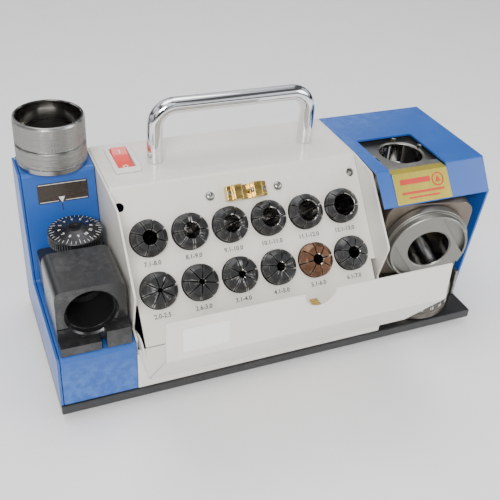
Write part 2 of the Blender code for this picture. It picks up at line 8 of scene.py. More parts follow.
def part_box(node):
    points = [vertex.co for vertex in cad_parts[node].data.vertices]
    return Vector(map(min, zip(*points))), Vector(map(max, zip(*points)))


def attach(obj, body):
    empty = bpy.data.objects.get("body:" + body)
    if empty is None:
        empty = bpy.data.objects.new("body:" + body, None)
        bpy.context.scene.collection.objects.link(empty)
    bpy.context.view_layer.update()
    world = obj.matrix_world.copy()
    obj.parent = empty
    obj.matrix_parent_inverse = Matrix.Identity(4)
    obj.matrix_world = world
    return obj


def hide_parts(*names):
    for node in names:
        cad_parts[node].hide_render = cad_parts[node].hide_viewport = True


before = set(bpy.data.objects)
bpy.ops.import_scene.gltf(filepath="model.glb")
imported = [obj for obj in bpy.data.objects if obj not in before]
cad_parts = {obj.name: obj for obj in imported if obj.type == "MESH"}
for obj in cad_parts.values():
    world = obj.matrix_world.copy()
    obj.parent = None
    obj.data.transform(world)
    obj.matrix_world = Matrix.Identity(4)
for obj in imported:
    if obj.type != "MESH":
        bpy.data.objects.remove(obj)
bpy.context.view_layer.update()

BASE_LOW, BASE_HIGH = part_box("base_plate")
BASE_LENGTH = BASE_HIGH.x - BASE_LOW.x
SHIFT = Vector((BASE_LOW.x + BASE_LENGTH / 2, BASE_LOW.y, 0.0))


def cad(node):
    """Lowest and highest corner of a CAD node, in the machine frame."""
    low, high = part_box(node)
    return low - SHIFT, high - SHIFT


# ---------------------------------------------------------------- sizes
GAP = 0.0003
SHEET = 0.0015
TOP = cad("centre_panel")[1].z
BACK = cad("centre_panel")[1].y
BASE_TOP = cad("base_plate")[1].z
CABINET_FLOOR = cad("left_housing")[0].z
LEFT_ENDS = (cad("left_housing")[0].x, cad("left_housing")[1].x)
LEFT_PROFILE = [(0.0010, CABINET_FLOOR), (0.0010, 0.0440), (0.0730, 0.0440), (0.0870, TOP), (BACK, TOP)]
CHEEK = 0.0012
CHEEK_LEFT = cad("cheek_left")[0].x
CHEEK_RIGHT = cad("cheek_right")[1].x
PANEL_BEND = Vector((0.0589, TOP))
PANEL_ANGLE = math.radians(50)
PANEL_LENGTH = 0.0893
HINGE = Vector((0.0120, 0.0395))
COVER_OPEN = math.radians(79.6)
COVER_LEGS = ((103.5, 0.0332), (47.7, 0.0478), (8.0, 0.0224))
COVER_START = 0.0113
COVER_SHEET = 0.0012
CATCH_X = -0.0125
COLLET_FIRST_X = -0.07425
COLLET_PITCH = 0.02417
COLLET_ROWS = {"upper": 0.0306, "lower": 0.0600}
COLLET_SIZES = {"upper": (8, 9, 10, 11, 12, 13), "lower": (2.5, 3, 4, 5, 6, 7)}
COLLET_LOW_ENDS = {"upper": (7.1, 8.1, 9.1, 10.1, 11.1, 12.1), "lower": (2.0, 2.6, 3.1, 4.1, 5.1, 6.1)}
COLLET_RADIUS = 0.0104
COLLET_LENGTH = 0.0315
COLLET_STANDS_OUT = 0.0068
PORT_RADIUS = 0.01365
HOLDER_AXIS = Vector((-0.1133, 0.0996))
HOLDER_RADIUS = 0.020
HOLDER_SEAM = 0.1220
HOLDER_RIM = 0.1376
DIAL_AXIS = Vector((-0.1096, 0.0630))
DIAL_RADIUS = 0.0154
DIAL_BOTTOM = 0.0758
DIAL_TOP = 0.0847
TURRET_AXIS = Vector((0.1020, 0.0280))
TURRET_TURN = math.radians(-11.7)
TURRET_RADIUS = 0.027
DRUM_TOP = 0.027
DISC_CENTRE = Vector((0.0, -0.0170, 0.0600))
DISC_TILT = math.radians(5.7)
DISC_THICKNESS = 0.010
PLATE_SIDE = 0.056
PLATE_THICKNESS = 0.008
TOP_PORT = Vector((0.1000, 0.0605))
MOTOR_AXIS = Vector((0.080, 0.046))
HANDLE_X = (-0.0567, 0.0408)
HANDLE_Y = 0.0837
HANDLE_AXIS_TOP = 0.1418
HANDLE_BEND = 0.012
HANDLE_TUBE = 0.00475
SWITCH = Vector((-0.0750, 0.0886))
ROCKER_PIVOT = Vector((0.0886, 0.1062))
HOOD_FOOT = 0.0202
HOOD_NOSE = (0.0190, 0.0910)
HOOD_FOLD = 0.0338
HOOD_LEFT = 0.0651
HOOD_RIGHT = (0.1360, 0.1430)
WINDOW = ((0.0740, 0.1145), (0.0370, 0.0745))
FLAP_BEND = (0.0315, 0.1057)     # the gold plate's bend, just under the hood's fold
GLAND = Vector((-0.078, 0.032))

FACING_FRONT = Matrix.Rotation(math.radians(90), 3, "X")
FACING_BACK = Matrix.Rotation(math.radians(-90), 3, "X")
FACING_RIGHT = Matrix.Rotation(math.radians(90), 3, "Y")
FACING_UP = Matrix.Identity(3)
PANEL_TURN = Matrix.Rotation(PANEL_ANGLE, 3, "X")
STEEP_ANGLE = math.atan2(LEFT_PROFILE[3][1] - LEFT_PROFILE[2][1], LEFT_PROFILE[3][0] - LEFT_PROFILE[2][0])
STEEP_TURN = Matrix.Rotation(STEEP_ANGLE, 3, "X")
TURRET_TURN_Z = Matrix.Rotation(TURRET_TURN, 3, "Z")
DISC_TURN = TURRET_TURN_Z @ Matrix.Rotation(math.radians(90) + DISC_TILT, 3, "X")
COVER_TURN = Matrix.Rotation(COVER_OPEN, 3, "X")


def direction(degrees):
    a = math.radians(degrees)
    return Vector((math.cos(a), math.sin(a)))


def on_panel(distance, height=0.0):
    """(y, z) a distance down the collet panel from its bend and a height in front of it."""
    down = Vector((-math.cos(PANEL_ANGLE), -math.sin(PANEL_ANGLE)))
    out = Vector((-math.sin(PANEL_ANGLE), math.cos(PANEL_ANGLE)))
    return PANEL_BEND + down * distance + out * height


# ---------------------------------------------------------------- camera, floor, light
CAMERA_PLACE = Vector((-0.16981, -0.30012, 0.32289))
CAMERA_TURN = (-25.03, 34.67, 4.38)   # azimuth, elevation and roll in degrees
CAMERA_LENS = 54.72                   # mm, with a 36 mm sensor
SKY_COLOUR = (0.95, 0.97, 1.0, 1.0)
SKY_BANDS = (-0.05, 0.45, 0.22, 1.0)  # from height, to height, strength below, strength above
SKY_PATCHES = (0.46, 0.56, 0.12, 1.25)
LAMPS = {                             # place, size, power, colour
    "key": ((-0.55, -0.95, 0.85), (0.5, 0.4), 15.0, (1.0, 0.985, 0.96)),
    "fill": ((0.85, -0.55, 0.55), (0.6, 0.5), 4.0, (0.95, 0.98, 1.0)),
    "above": ((-0.1, 0.25, 1.1), (0.9, 0.5), 6.0, (1.0, 1.0, 1.0)),
}
LAMP_AIM = Vector((0.0, 0.0, 0.06))
FLOOR_SIZE = 3.0


def make_camera():
    lens = bpy.data.cameras.new("camera")
    lens.sensor_width = 36.0
    lens.lens = CAMERA_LENS
    item = bpy.data.objects.new("camera", lens)
    bpy.context.scene.collection.objects.link(item)
    azimuth, elevation, roll = [math.radians(degrees) for degrees in CAMERA_TURN]
    turn = (Matrix.Rotation(azimuth, 3, "Z") @ Matrix.Rotation(math.pi / 2 - elevation, 3, "X")
            @ Matrix.Rotation(roll, 3, "Z"))
    item.matrix_world = Matrix.Translation(CAMERA_PLACE + SHIFT) @ turn.to_4x4()
    bpy.context.scene.camera = item


def area_light(name, place, size, power, colour):
    lamp = bpy.data.lights.new(name, "AREA")
    lamp.shape = "RECTANGLE"
    lamp.size, lamp.size_y = size
    lamp.energy = power
    lamp.color = colour
    item = bpy.data.objects.new(name, lamp)
    item.location = place
    item.rotation_euler = (LAMP_AIM - Vector(place)).to_track_quat("-Z", "Y").to_euler()
    bpy.context.scene.collection.objects.link(item)


def make_sky():
    """A pale room, darker towards the floor and in soft patches, for the metal to reflect."""
    world = bpy.data.worlds.new("studio")
    world.use_nodes = True
    nodes, links = world.node_tree.nodes, world.node_tree.links
    shade = nodes["Background"]
    shade.inputs["Color"].default_value = SKY_COLOUR

    def ranged(value, numbers):
        node = nodes.new("ShaderNodeMapRange")
        for index, number in enumerate(numbers):
            node.inputs[index + 1].default_value = number
        links.new(value, node.inputs[0])
        return node.outputs[0]

    room = nodes.new("ShaderNodeTexCoord").outputs["Generated"]
    height = nodes.new("ShaderNodeSeparateXYZ")
    links.new(room, height.inputs[0])
    patches = nodes.new("ShaderNodeTexNoise")
    patches.inputs["Scale"].default_value = 2.2
    patches.inputs["Detail"].default_value = 1.0
    links.new(room, patches.inputs["Vector"])
    strength = nodes.new("ShaderNodeMath")
    strength.operation = "MULTIPLY"
    links.new(ranged(height.outputs["Z"], SKY_BANDS), strength.inputs[0])
    links.new(ranged(patches.outputs["Fac"], SKY_PATCHES), strength.inputs[1])
    links.new(strength.outputs[0], shade.inputs["Strength"])
    bpy.context.scene.world = world


def make_studio():
    make_sky()
    for name, settings in LAMPS.items():
        area_light(name, *settings)
    shape = bmesh.new()
    bmesh.ops.create_grid(shape, x_segments=4, y_segments=4, size=FLOOR_SIZE)
    mesh = bpy.data.meshes.new("floor")
    shape.to_mesh(mesh)
    shape.free()
    floor = bpy.data.objects.new("floor", mesh)
    bpy.context.scene.collection.objects.link(floor)
    mesh.materials.append(finish("floor_white", (0.93, 0.93, 0.93), 0.65, tint=0.01))


# ---------------------------------------------------------------- materials
class Graph:
    """A small writer for one material's nodes."""

    def __init__(self, name):
        self.material = bpy.data.materials.new(name)
        self.material.use_nodes = True
        self.nodes = self.material.node_tree.nodes
        self.links = self.material.node_tree.links
        self.shader = self.nodes["Principled BSDF"]

    def add(self, kind, **inputs):
        node = self.nodes.new("ShaderNode" + kind)
        for key, value in inputs.items():
            self.put(node.inputs[key.replace("_", " ")], value)
        return node

    def put(self, socket, value):
        if isinstance(value, bpy.types.NodeSocket):
            self.links.new(value, socket)
        else:
            socket.default_value = value

    def math(self, operation, a, b=0.0):
        node = self.nodes.new("ShaderNodeMath")
        node.operation = operation
        self.put(node.inputs[0], a)
        self.put(node.inputs[1], b)
        return node.outputs[0]

    def spread(self, value, low, high, to_low=0.0, to_high=1.0):
        node = self.nodes.new("ShaderNodeMapRange")
        for index, number in enumerate((value, low, high, to_low, to_high)):
            self.put(node.inputs[index], number)
        return node.outputs[0]

    def noise(self, vector, scale, detail=3.0, roughness=0.5):
        node = self.add("TexNoise", Vector=vector, Scale=scale, Detail=detail, Roughness=roughness)
        return node.outputs["Fac"]

    def mix(self, factor, a, b):
        node = self.nodes.new("ShaderNodeMix")
        node.data_type = "RGBA"
        self.put(node.inputs["Factor"], factor)
        self.put(node.inputs["A"], a)
        self.put(node.inputs["B"], b)
        return node.outputs["Result"]


FINISHES = {}


def finish(name, colour, roughness, metallic=0.0, tint=0.08, grain=900.0, bump=0.0, grain_depth=0.00005,
           brushed=None, edge_wear_and_highlight=0.0, edge_wear_and_highlight_colour=(0.55, 0.55, 0.55), dust=0.0, coat=0.0, spread=0.06,
           patches=28.0, dark=None, speckle=0.0):
    """A procedural finish: slow colour drift, grain bump, roughness changes, lighter edges that are partly
    rubbed wear and partly a painted highlight, and settled dust.

    brushed = "turned" for lathe rings about local Z, or an (x, y, z) stretch for straight brushing.
    """
    if name in FINISHES:
        return FINISHES[name]
    g = Graph(name)
    place = g.add("TexCoord").outputs["Object"]
    slow = g.noise(place, patches, 4.0, 0.55)
    fine = g.noise(place, grain, 2.0, 0.6)
    base = (*colour, 1.0)
    low = (*(dark or [c * (1 - 2.2 * tint) for c in colour]), 1.0)
    high = (*[min(1.0, c * (1 + tint)) for c in colour], 1.0)
    shade = g.mix(g.spread(slow, 0.30, 0.70), low, high)
    shade = g.mix(0.45, shade, base)
    rough = g.math("ADD", g.spread(slow, 0.3, 0.7, -spread, spread), roughness)
    height = fine
    if brushed:
        if brushed == "turned":
            parts = g.add("SeparateXYZ", Vector=place)
            x, y, z = parts.outputs
            radius = g.math("SQRT", g.math("ADD", g.math("MULTIPLY", x, x), g.math("MULTIPLY", y, y)))
            lines = g.add("CombineXYZ", X=g.math("MULTIPLY", radius, 2600.0), Y=g.math("MULTIPLY", z, 2600.0))
            streak = g.noise(lines.outputs[0], 1.0, 2.0, 0.7)
        else:
            lines = g.add("Mapping", Vector=place, Scale=brushed)
            streak = g.noise(lines.outputs[0], 1.0, 3.0, 0.7)
        rough = g.math("ADD", rough, g.spread(streak, 0.3, 0.7, -0.07, 0.09))
        shade = g.mix(g.spread(streak, 0.35, 0.75, 0.0, 0.28), shade, (*[c * 0.62 for c in colour], 1.0))
        height = g.math("ADD", g.math("MULTIPLY", fine, 0.25), streak)
    if speckle:
        dots = g.noise(place, 1500.0, 1.0, 0.5)
        shade = g.mix(g.spread(dots, 0.62, 0.70, 0.0, speckle), shade,
                      (*[min(1.0, c * 1.5 + 0.1) for c in colour], 1.0))
    # Edges found by pointiness are lightened in noisy patches: partly rubbed wear, partly a painted highlight
    # where edges catch the light.
    if edge_wear_and_highlight:
        edge = g.add("NewGeometry").outputs["Pointiness"]
        rubbed_and_lit_edge = g.math("MULTIPLY", g.spread(edge, 0.53, 0.60),
                        g.spread(g.noise(place, 210.0, 4.0, 0.7), 0.42, 0.62))
        shade = g.mix(g.math("MULTIPLY", rubbed_and_lit_edge, edge_wear_and_highlight), shade, (*edge_wear_and_highlight_colour, 1.0))
    if dust:
        lies = g.add("SeparateXYZ", Vector=g.add("NewGeometry").outputs["Normal"]).outputs["Z"]
        amount = g.math("MULTIPLY", g.spread(lies, 0.5, 1.0),
                        g.spread(g.noise(place, 90.0, 5.0, 0.7), 0.45, 0.8))
        shade = g.mix(g.math("MULTIPLY", amount, dust), shade, (0.55, 0.53, 0.50, 1.0))
    g.put(g.shader.inputs["Base Color"], shade)
    g.put(g.shader.inputs["Roughness"], g.math("MAXIMUM", rough, 0.03))
    g.shader.inputs["Metallic"].default_value = metallic
    if coat:
        g.shader.inputs["Coat Weight"].default_value = coat
        g.shader.inputs["Coat Roughness"].default_value = 0.12
    if bump:
        node = g.add("Bump", Strength=bump, Distance=grain_depth, Height=height)
        g.put(g.shader.inputs["Normal"], node.outputs[0])
    FINISHES[name] = g.material
    return g.material


# Each lighter edge colour given below stands for worn edges together with a painted edge highlight.
def blue_paint():
    return finish("blue_powder_coat", (0.014, 0.092, 0.390), 0.36, tint=0.04, grain=650.0, bump=0.35,
                  grain_depth=0.00012, edge_wear_and_highlight=0.25, edge_wear_and_highlight_colour=(0.15, 0.32, 0.70), dust=0.02, coat=0.15,
                  speckle=0.04)


def white_paint():
    return finish("cream_powder_coat", (0.76, 0.735, 0.67), 0.38, tint=0.025, grain=650.0, bump=0.22,
                  grain_depth=0.00010, edge_wear_and_highlight=0.25, edge_wear_and_highlight_colour=(0.9, 0.89, 0.86), dust=0.04, coat=0.2)


def black_gloss():
    return finish("black_gloss_enamel", (0.014, 0.014, 0.015), 0.30, tint=0.05, grain=420.0, bump=0.15,
                  grain_depth=0.0001, edge_wear_and_highlight=0.25, edge_wear_and_highlight_colour=(0.12, 0.12, 0.12), dust=0.01, coat=0.2)


def black_plastic():
    return finish("black_moulded_plastic", (0.022, 0.022, 0.023), 0.45, tint=0.08, grain=1400.0, bump=0.3,
                  grain_depth=0.00006, edge_wear_and_highlight=0.15, edge_wear_and_highlight_colour=(0.1, 0.1, 0.1))


def white_plastic():
    return finish("white_moulded_plastic", (0.80, 0.79, 0.76), 0.30, tint=0.03, grain=1200.0, bump=0.12)


def red_plastic():
    return finish("red_clear_plastic", (0.82, 0.045, 0.025), 0.20, tint=0.08, grain=500.0, bump=0.08,
                  coat=0.6)


def rubber():
    return finish("foot_rubber", (0.030, 0.029, 0.028), 0.75, tint=0.12, grain=1100.0, bump=0.5, dust=0.15)


def chrome():
    return finish("polished_chrome", (0.80, 0.80, 0.82), 0.055, 1.0, tint=0.02, grain=160.0, bump=0.03,
                  spread=0.02)


def steel(kind="turned"):
    return finish("ground_steel_" + kind, (0.36, 0.355, 0.34), 0.26, 1.0, tint=0.06, bump=0.25, edge_wear_and_highlight=0.3,
                  brushed="turned" if kind == "turned" else (30.0, 900.0, 900.0), edge_wear_and_highlight_colour=(0.8, 0.8, 0.8))


def polished_steel():
    return finish("polished_steel_bore", (0.40, 0.39, 0.37), 0.14, 1.0, tint=0.05, bump=0.08,
                  brushed="turned")


def dark_steel():
    return finish("blackened_steel", (0.020, 0.020, 0.021), 0.32, 0.3, tint=0.08, bump=0.1, edge_wear_and_highlight=0.85,
                  edge_wear_and_highlight_colour=(0.55, 0.54, 0.51))


def aluminium(kind="turned"):
    stretch = {"turned": "turned", "x": (25.0, 700.0, 700.0), "y": (700.0, 25.0, 700.0)}[kind]
    return finish("machined_aluminium_" + kind, (0.27, 0.262, 0.240), 0.40, 0.92, tint=0.06, bump=0.3,
                  brushed=stretch, edge_wear_and_highlight=0.5, edge_wear_and_highlight_colour=(0.62, 0.61, 0.58))


def brass():
    return finish("satin_brass", (0.72, 0.49, 0.14), 0.24, 1.0, tint=0.08, bump=0.12,
                  brushed=(40.0, 900.0, 900.0),
                  edge_wear_and_highlight=0.4, edge_wear_and_highlight_colour=(0.95, 0.75, 0.35))


def gold_label():
    return finish("gold_foil_label", (0.46, 0.37, 0.050), 0.38, 0.55, tint=0.08, bump=0.12,
                  brushed=(900.0, 60.0, 60.0))


def red_print():
    return finish("red_print", (0.62, 0.035, 0.02), 0.5, tint=0.10, bump=0.05)


def grey_print():
    return finish("grey_print", (0.07, 0.07, 0.08), 0.5, tint=0.10, bump=0.05)


def white_print():
    return finish("white_print", (0.80, 0.80, 0.78), 0.45, tint=0.05, bump=0.05)


def dark_label():
    return finish("dark_foil_label", (0.045, 0.030, 0.020), 0.24, 0.35, tint=0.25, bump=0.10,
                  dark=(0.012, 0.010, 0.010), brushed=(60.0, 900.0, 900.0), coat=0.4)


def paper_label():
    return finish("plain_paper_label", (0.88, 0.88, 0.85), 0.50, tint=0.02, bump=0.05)


def drum_steel():
    return finish("dark_drum_steel", (0.13, 0.115, 0.10), 0.34, 0.75, tint=0.12, bump=0.2, brushed="turned",
                  edge_wear_and_highlight=0.5, edge_wear_and_highlight_colour=(0.45, 0.42, 0.38))


def abrasive():
    return finish("diamond_grit", (0.24, 0.19, 0.10), 0.85, 0.2, tint=0.25, grain=2400.0, bump=0.9,
                  grain_depth=0.0003, speckle=0.6)


# ---------------------------------------------------------------- shapes
def extruded(outline, step):
    """A prism: a closed outline of 3-D points pushed along a step."""
    shape = bmesh.new()
    low = [shape.verts.new(Vector(p)) for p in outline]
    high = [shape.verts.new(Vector(p) + Vector(step)) for p in outline]
    shape.faces.new(low)
    shape.faces.new(list(reversed(high)))
    for i in range(len(outline)):
        j = (i + 1) % len(outline)
        shape.faces.new((low[i], high[i], high[j], low[j]))
    return shape


def along_x(outline_yz, x0, x1):
    return extruded([(x0, p[0], p[1]) for p in outline_yz], (x1 - x0, 0, 0))


def along_y(outline_xz, y0, y1):
    return extruded([(p[0], y0, p[1]) for p in outline_xz], (0, y1 - y0, 0))


def along_z(outline_xy, z0, z1):
    return extruded([(p[0], p[1], z0) for p in outline_xy], (0, 0, z1 - z0))


def block(x0, x1, y0, y1, z0, z1):
    return along_z([(x0, y0), (x1, y0), (x1, y1), (x0, y1)], z0, z1)


def ring(radius, count=48, centre=(0.0, 0.0), start=0.0):
    step = 2 * math.pi / count
    return [(centre[0] + radius * math.cos(start + i * step), centre[1] + radius * math.sin(start + i * step))
            for i in range(count)]


def filleted(points, radii, steps=6, closed=True):
    """A 2-D outline with its corners rounded: one radius for all, or one for each corner."""
    points = [Vector(p) for p in points]
    count = len(points)
    if not isinstance(radii, (list, tuple)):
        radii = [radii] * count
    result = []
    for i, corner in enumerate(points):
        radius = radii[i]
        if radius <= 0 or (not closed and i in (0, count - 1)):
            result.append(corner)
            continue
        before = (points[i - 1] - corner).normalized()
        after = (points[(i + 1) % count] - corner).normalized()
        half = before.angle(after) / 2
        reach = radius / math.tan(half)
        centre = corner + (before + after).normalized() * (radius / math.sin(half))
        first = corner + before * reach - centre
        last = corner + after * reach - centre
        for k in range(steps + 1):
            t = k / steps
            sweep = math.pi - 2 * half
            mixed = (first * math.sin((1 - t) * sweep) + last * math.sin(t * sweep)) / math.sin(sweep)
            result.append(centre + mixed)
    return result


def offset_right(points, thickness):
    """An open path moved sideways to its right by a thickness."""
    path = [Vector(p) for p in points]
    moved = []
    for i, point in enumerate(path):
        sides = []
        if i > 0:
            sides.append((point - path[i - 1]).normalized())
        if i < len(path) - 1:
            sides.append((path[i + 1] - point).normalized())
        rights = [Vector((d.y, -d.x)) for d in sides]
        middle = sum(rights, Vector((0.0, 0.0))).normalized()
        moved.append(point + middle * thickness / middle.dot(rights[0]))
    return moved


def folded(points, thickness, bend):
    """Outline of a folded sheet with round bends: the points run along its outer face."""
    inner = offset_right(points, thickness)
    turns = [0.0]
    for before, here, after in zip(points, points[1:], points[2:]):
        a, b = Vector(here) - Vector(before), Vector(after) - Vector(here)
        turns.append(1.0 if a.x * b.y - a.y * b.x < 0 else -1.0)
    turns.append(0.0)
    outer_radii = [0.0 if t == 0 else bend + (thickness if t > 0 else 0.0) for t in turns]
    inner_radii = [0.0 if t == 0 else bend + (0.0 if t > 0 else thickness) for t in turns]
    outer = filleted(points, outer_radii, closed=False)
    return outer + list(reversed(filleted(inner, inner_radii, closed=False)))


def turned(profile, count=96, relief=None):
    """A closed (radius, height) loop spun about local Z.  relief(angle, height) is added to the radius."""
    shape = bmesh.new()
    rings = []
    for radius, height in profile:
        if radius == 0.0:
            rings.append([shape.verts.new((0.0, 0.0, height))])
            continue
        made = []
        for i in range(count):
            a = 2 * math.pi * i / count
            r = radius + (relief(a, radius, height) if relief else 0.0)
            made.append(shape.verts.new((r * math.cos(a), r * math.sin(a), height)))
        rings.append(made)
    for i, lower in enumerate(rings):
        upper = rings[(i + 1) % len(rings)]
        if len(lower) == 1 and len(upper) == 1:
            continue
        for k in range(count):
            n = (k + 1) % count
            corners = [lower[k % len(lower)], lower[n % len(lower)], upper[n % len(upper)],
                       upper[k % len(upper)]]
            shape.faces.new(list(dict.fromkeys(corners)))
    return shape


def rod(radius, low, high, count=64):
    return turned([(0.0, low), (radius, low), (radius, high), (0.0, high)], count)


def ball(radius, centre=(0.0, 0.0, 0.0)):
    shape = bmesh.new()
    bmesh.ops.create_icosphere(shape, subdivisions=3, radius=radius, matrix=Matrix.Translation(centre))
    return shape


def placed(shape, origin=(0.0, 0.0, 0.0), turn=None):
    """Moves a bmesh: turned first, then shifted to origin."""
    matrix = Matrix.Translation(Vector(origin))
    bmesh.ops.transform(shape, matrix=matrix @ turn.to_4x4() if turn else matrix, verts=shape.verts)
    return shape


def gathered(shapes):
    """Several separate closed shapes as one."""
    whole = bmesh.new()
    for shape in shapes:
        bmesh.ops.recalc_face_normals(shape, faces=shape.faces)
        mesh = bpy.data.meshes.new("gathered")
        shape.to_mesh(mesh)
        shape.free()
        whole.from_mesh(mesh)
        bpy.data.meshes.remove(mesh)
    return whole


def raw_object(name, shape):
    bmesh.ops.recalc_face_normals(shape, faces=shape.faces)
    mesh = bpy.data.meshes.new(name)
    shape.to_mesh(mesh)
    shape.free()
    item = bpy.data.objects.new(name, mesh)
    bpy.context.scene.collection.objects.link(item)
    return item


def settle(item):
    """Applies the modifiers by evaluating the object."""
    bpy.context.view_layer.update()
    evaluated = item.evaluated_get(bpy.context.evaluated_depsgraph_get())
    mesh = bpy.data.meshes.new_from_object(evaluated)
    old = item.data
    item.modifiers.clear()
    item.data = mesh
    bpy.data.meshes.remove(old)


def carve(item, shapes, operation):
    tools = []
    for shape in shapes:
        tool = raw_object("tool", shape)
        step = item.modifiers.new("carve", "BOOLEAN")
        step.operation = operation
        step.solver = "EXACT"
        step.object = tool
        tools.append(tool)
    if tools:
        settle(item)
    for tool in tools:
        bpy.data.objects.remove(tool)


def piece(name, shape, body, look, origin=(0.0, 0.0, 0.0), turn=None, cuts=(), joins=(), stands_for=(),
          bevel=0.0004, steps=3, angle=32, paint=None, baked=False):
    """One finished piece.  Its shape is relative to origin, as are its cuts and joins.

    look is a material, or a list of them with paint(centre, normal) picking one for each face.
    baked puts the turn into the mesh and leaves the object level.
    """
    item = raw_object(name, shape)
    carve(item, joins, "UNION")
    carve(item, cuts, "DIFFERENCE")
    looks = look if isinstance(look, list) else [look]
    item.data.materials.clear()
    for one in looks:
        item.data.materials.append(one)
    if paint:
        for face in item.data.polygons:
            face.material_index = paint(face.center, face.normal)
    item.data.shade_smooth()
    item.data.set_sharp_from_angle(angle=math.radians(angle))
    if bevel:
        edge = item.modifiers.new("edges", "BEVEL")
        edge.width = bevel
        edge.segments = steps
        edge.limit_method = "ANGLE"
        edge.angle_limit = math.radians(angle)
        edge.miter_outer = "MITER_ARC"
        flat = item.modifiers.new("shading", "WEIGHTED_NORMAL")
        flat.keep_sharp = True
    if baked:
        item.data.transform(turn.to_4x4())
        turn = None
    place = Matrix.Translation(Vector(origin) + SHIFT)
    item.matrix_world = place @ turn.to_4x4() if turn else place
    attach(item, body)
    if stands_for:
        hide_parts(*stands_for)
    return item


def lettering(name, words, body, look, thickness=0.00004):
    """Printed characters as one thin raised mesh.

    words holds (text, height, origin, turn) in the machine frame.
    """
    shapes = []
    for text, height, origin, turn in words:
        curve = bpy.data.curves.new("text", "FONT")
        curve.body = text
        curve.size = height
        curve.align_x = "CENTER"
        curve.align_y = "CENTER"
        curve.extrude = thickness
        curve.offset = height * 0.018
        curve.resolution_u = 2
        holder = bpy.data.objects.new("text", curve)
        bpy.context.scene.collection.objects.link(holder)
        bpy.context.view_layer.update()
        mesh = bpy.data.meshes.new_from_object(holder.evaluated_get(bpy.context.evaluated_depsgraph_get()))
        shape = bmesh.new()
        shape.from_mesh(mesh)
        shapes.append(placed(shape, origin, turn))
        bpy.data.objects.remove(holder)
        bpy.data.curves.remove(curve)
        bpy.data.meshes.remove(mesh)
    return piece(name, gathered(shapes), body, look, bevel=0)


# ---------------------------------------------------------------- base and feet
def make_base():
    half = BASE_LENGTH / 2
    depth = BASE_HIGH.y - BASE_LOW.y
    outline = filleted([(-half, 0.0), (half, 0.0), (half, depth), (-half, depth)],
                       [0.0008, 0.0008, 0.002, 0.002])
    piece("base_plate_enamelled", along_z(outline, BASE_LOW.z, BASE_TOP), "cabinet",
          black_gloss(),
          stands_for=["base_plate"], bevel=0.0007)
    for corner in ("front_left", "front_right", "rear_left", "rear_right"):
        low, high = cad("foot_" + corner)
        middle = (low + high) / 2
        radius = (high.x - low.x) / 2
        profile = [(0.0, 0.0008), (0.0030, 0.0008), (0.0032, 0.0), (radius - 0.0012, 0.0),
                   (radius - 0.0006, 0.0006),
                   (radius, high.z - 0.0008), (radius - 0.0003, high.z), (0.0, high.z)]
        piece("rubber_foot_" + corner, turned(profile, 48), "cabinet", rubber(),
              (middle.x, middle.y, 0.0),
              stands_for=["foot_" + corner], bevel=0.0002, steps=2)


# ---------------------------------------------------------------- left housing and setting unit
def steep_point(distance, height=0.0):
    """(y, z) a distance down the left housing's steep face from its upper fold."""
    fold = Vector(LEFT_PROFILE[3])
    down = (Vector(LEFT_PROFILE[2]) - fold).normalized()
    out = Vector((-abs(down.y), abs(down.x)))
    return fold + down * distance + out * height


def make_left_housing():
    piece("left_housing_folded", along_x(folded(LEFT_PROFILE, SHEET, 0.0016), *LEFT_ENDS), "cabinet",
          blue_paint(), stands_for=["left_housing"], bevel=0.00035)
    low, high = cad("left_side_plate")
    side = filleted(LEFT_PROFILE + [(BACK, CABINET_FLOOR)], [0.0005, 0.0018, 0.0018, 0.0025, 0.0015, 0.0005])
    piece("left_end_plate", along_x(side, low.x, high.x), "cabinet", blue_paint(),
          stands_for=["left_side_plate"], bevel=0.0003)
    centre = steep_point(0.01265, 0.00008)
    label = filleted([(-0.0143, -0.0059), (0.0143, -0.0059), (0.0143, 0.0059), (-0.0143, 0.0059)], 0.0006)
    piece("web_label", along_z(label, -0.00008, 0.00008), "cabinet", dark_label(),
          (-0.1112, *centre), STEEP_TURN, bevel=0)
    tip = steep_point(0.0170, 0.0003)
    triangle = [(-0.0018, 0.0016), (0.0, -0.0020), (0.0018, 0.0016)]
    piece("web_label_pointer", along_z(triangle, -0.00006, 0.00006), "cabinet", white_print(),
          (-0.1123, *tip), STEEP_TURN, bevel=0)
    border = [block(-0.0136, 0.0136, 0.0050, 0.0053, -0.00005, 0.00005),
              block(-0.0136, -0.0030, -0.0053, -0.0050, -0.00005, 0.00005),
              block(0.0010, 0.0136, -0.0053, -0.0050, -0.00005, 0.00005)]
    piece("web_label_border", gathered(border), "cabinet", white_print(),
          (-0.1112, *steep_point(0.01265, 0.0002)), STEEP_TURN, bevel=0)
    line = steep_point(0.0213, 0.00006)
    piece("web_index_line", block(-0.00025, 0.00025, -0.0025, 0.0025, -0.00005, 0.00005), "cabinet",
          black_plastic(), (-0.1123, *line), STEEP_TURN, bevel=0)


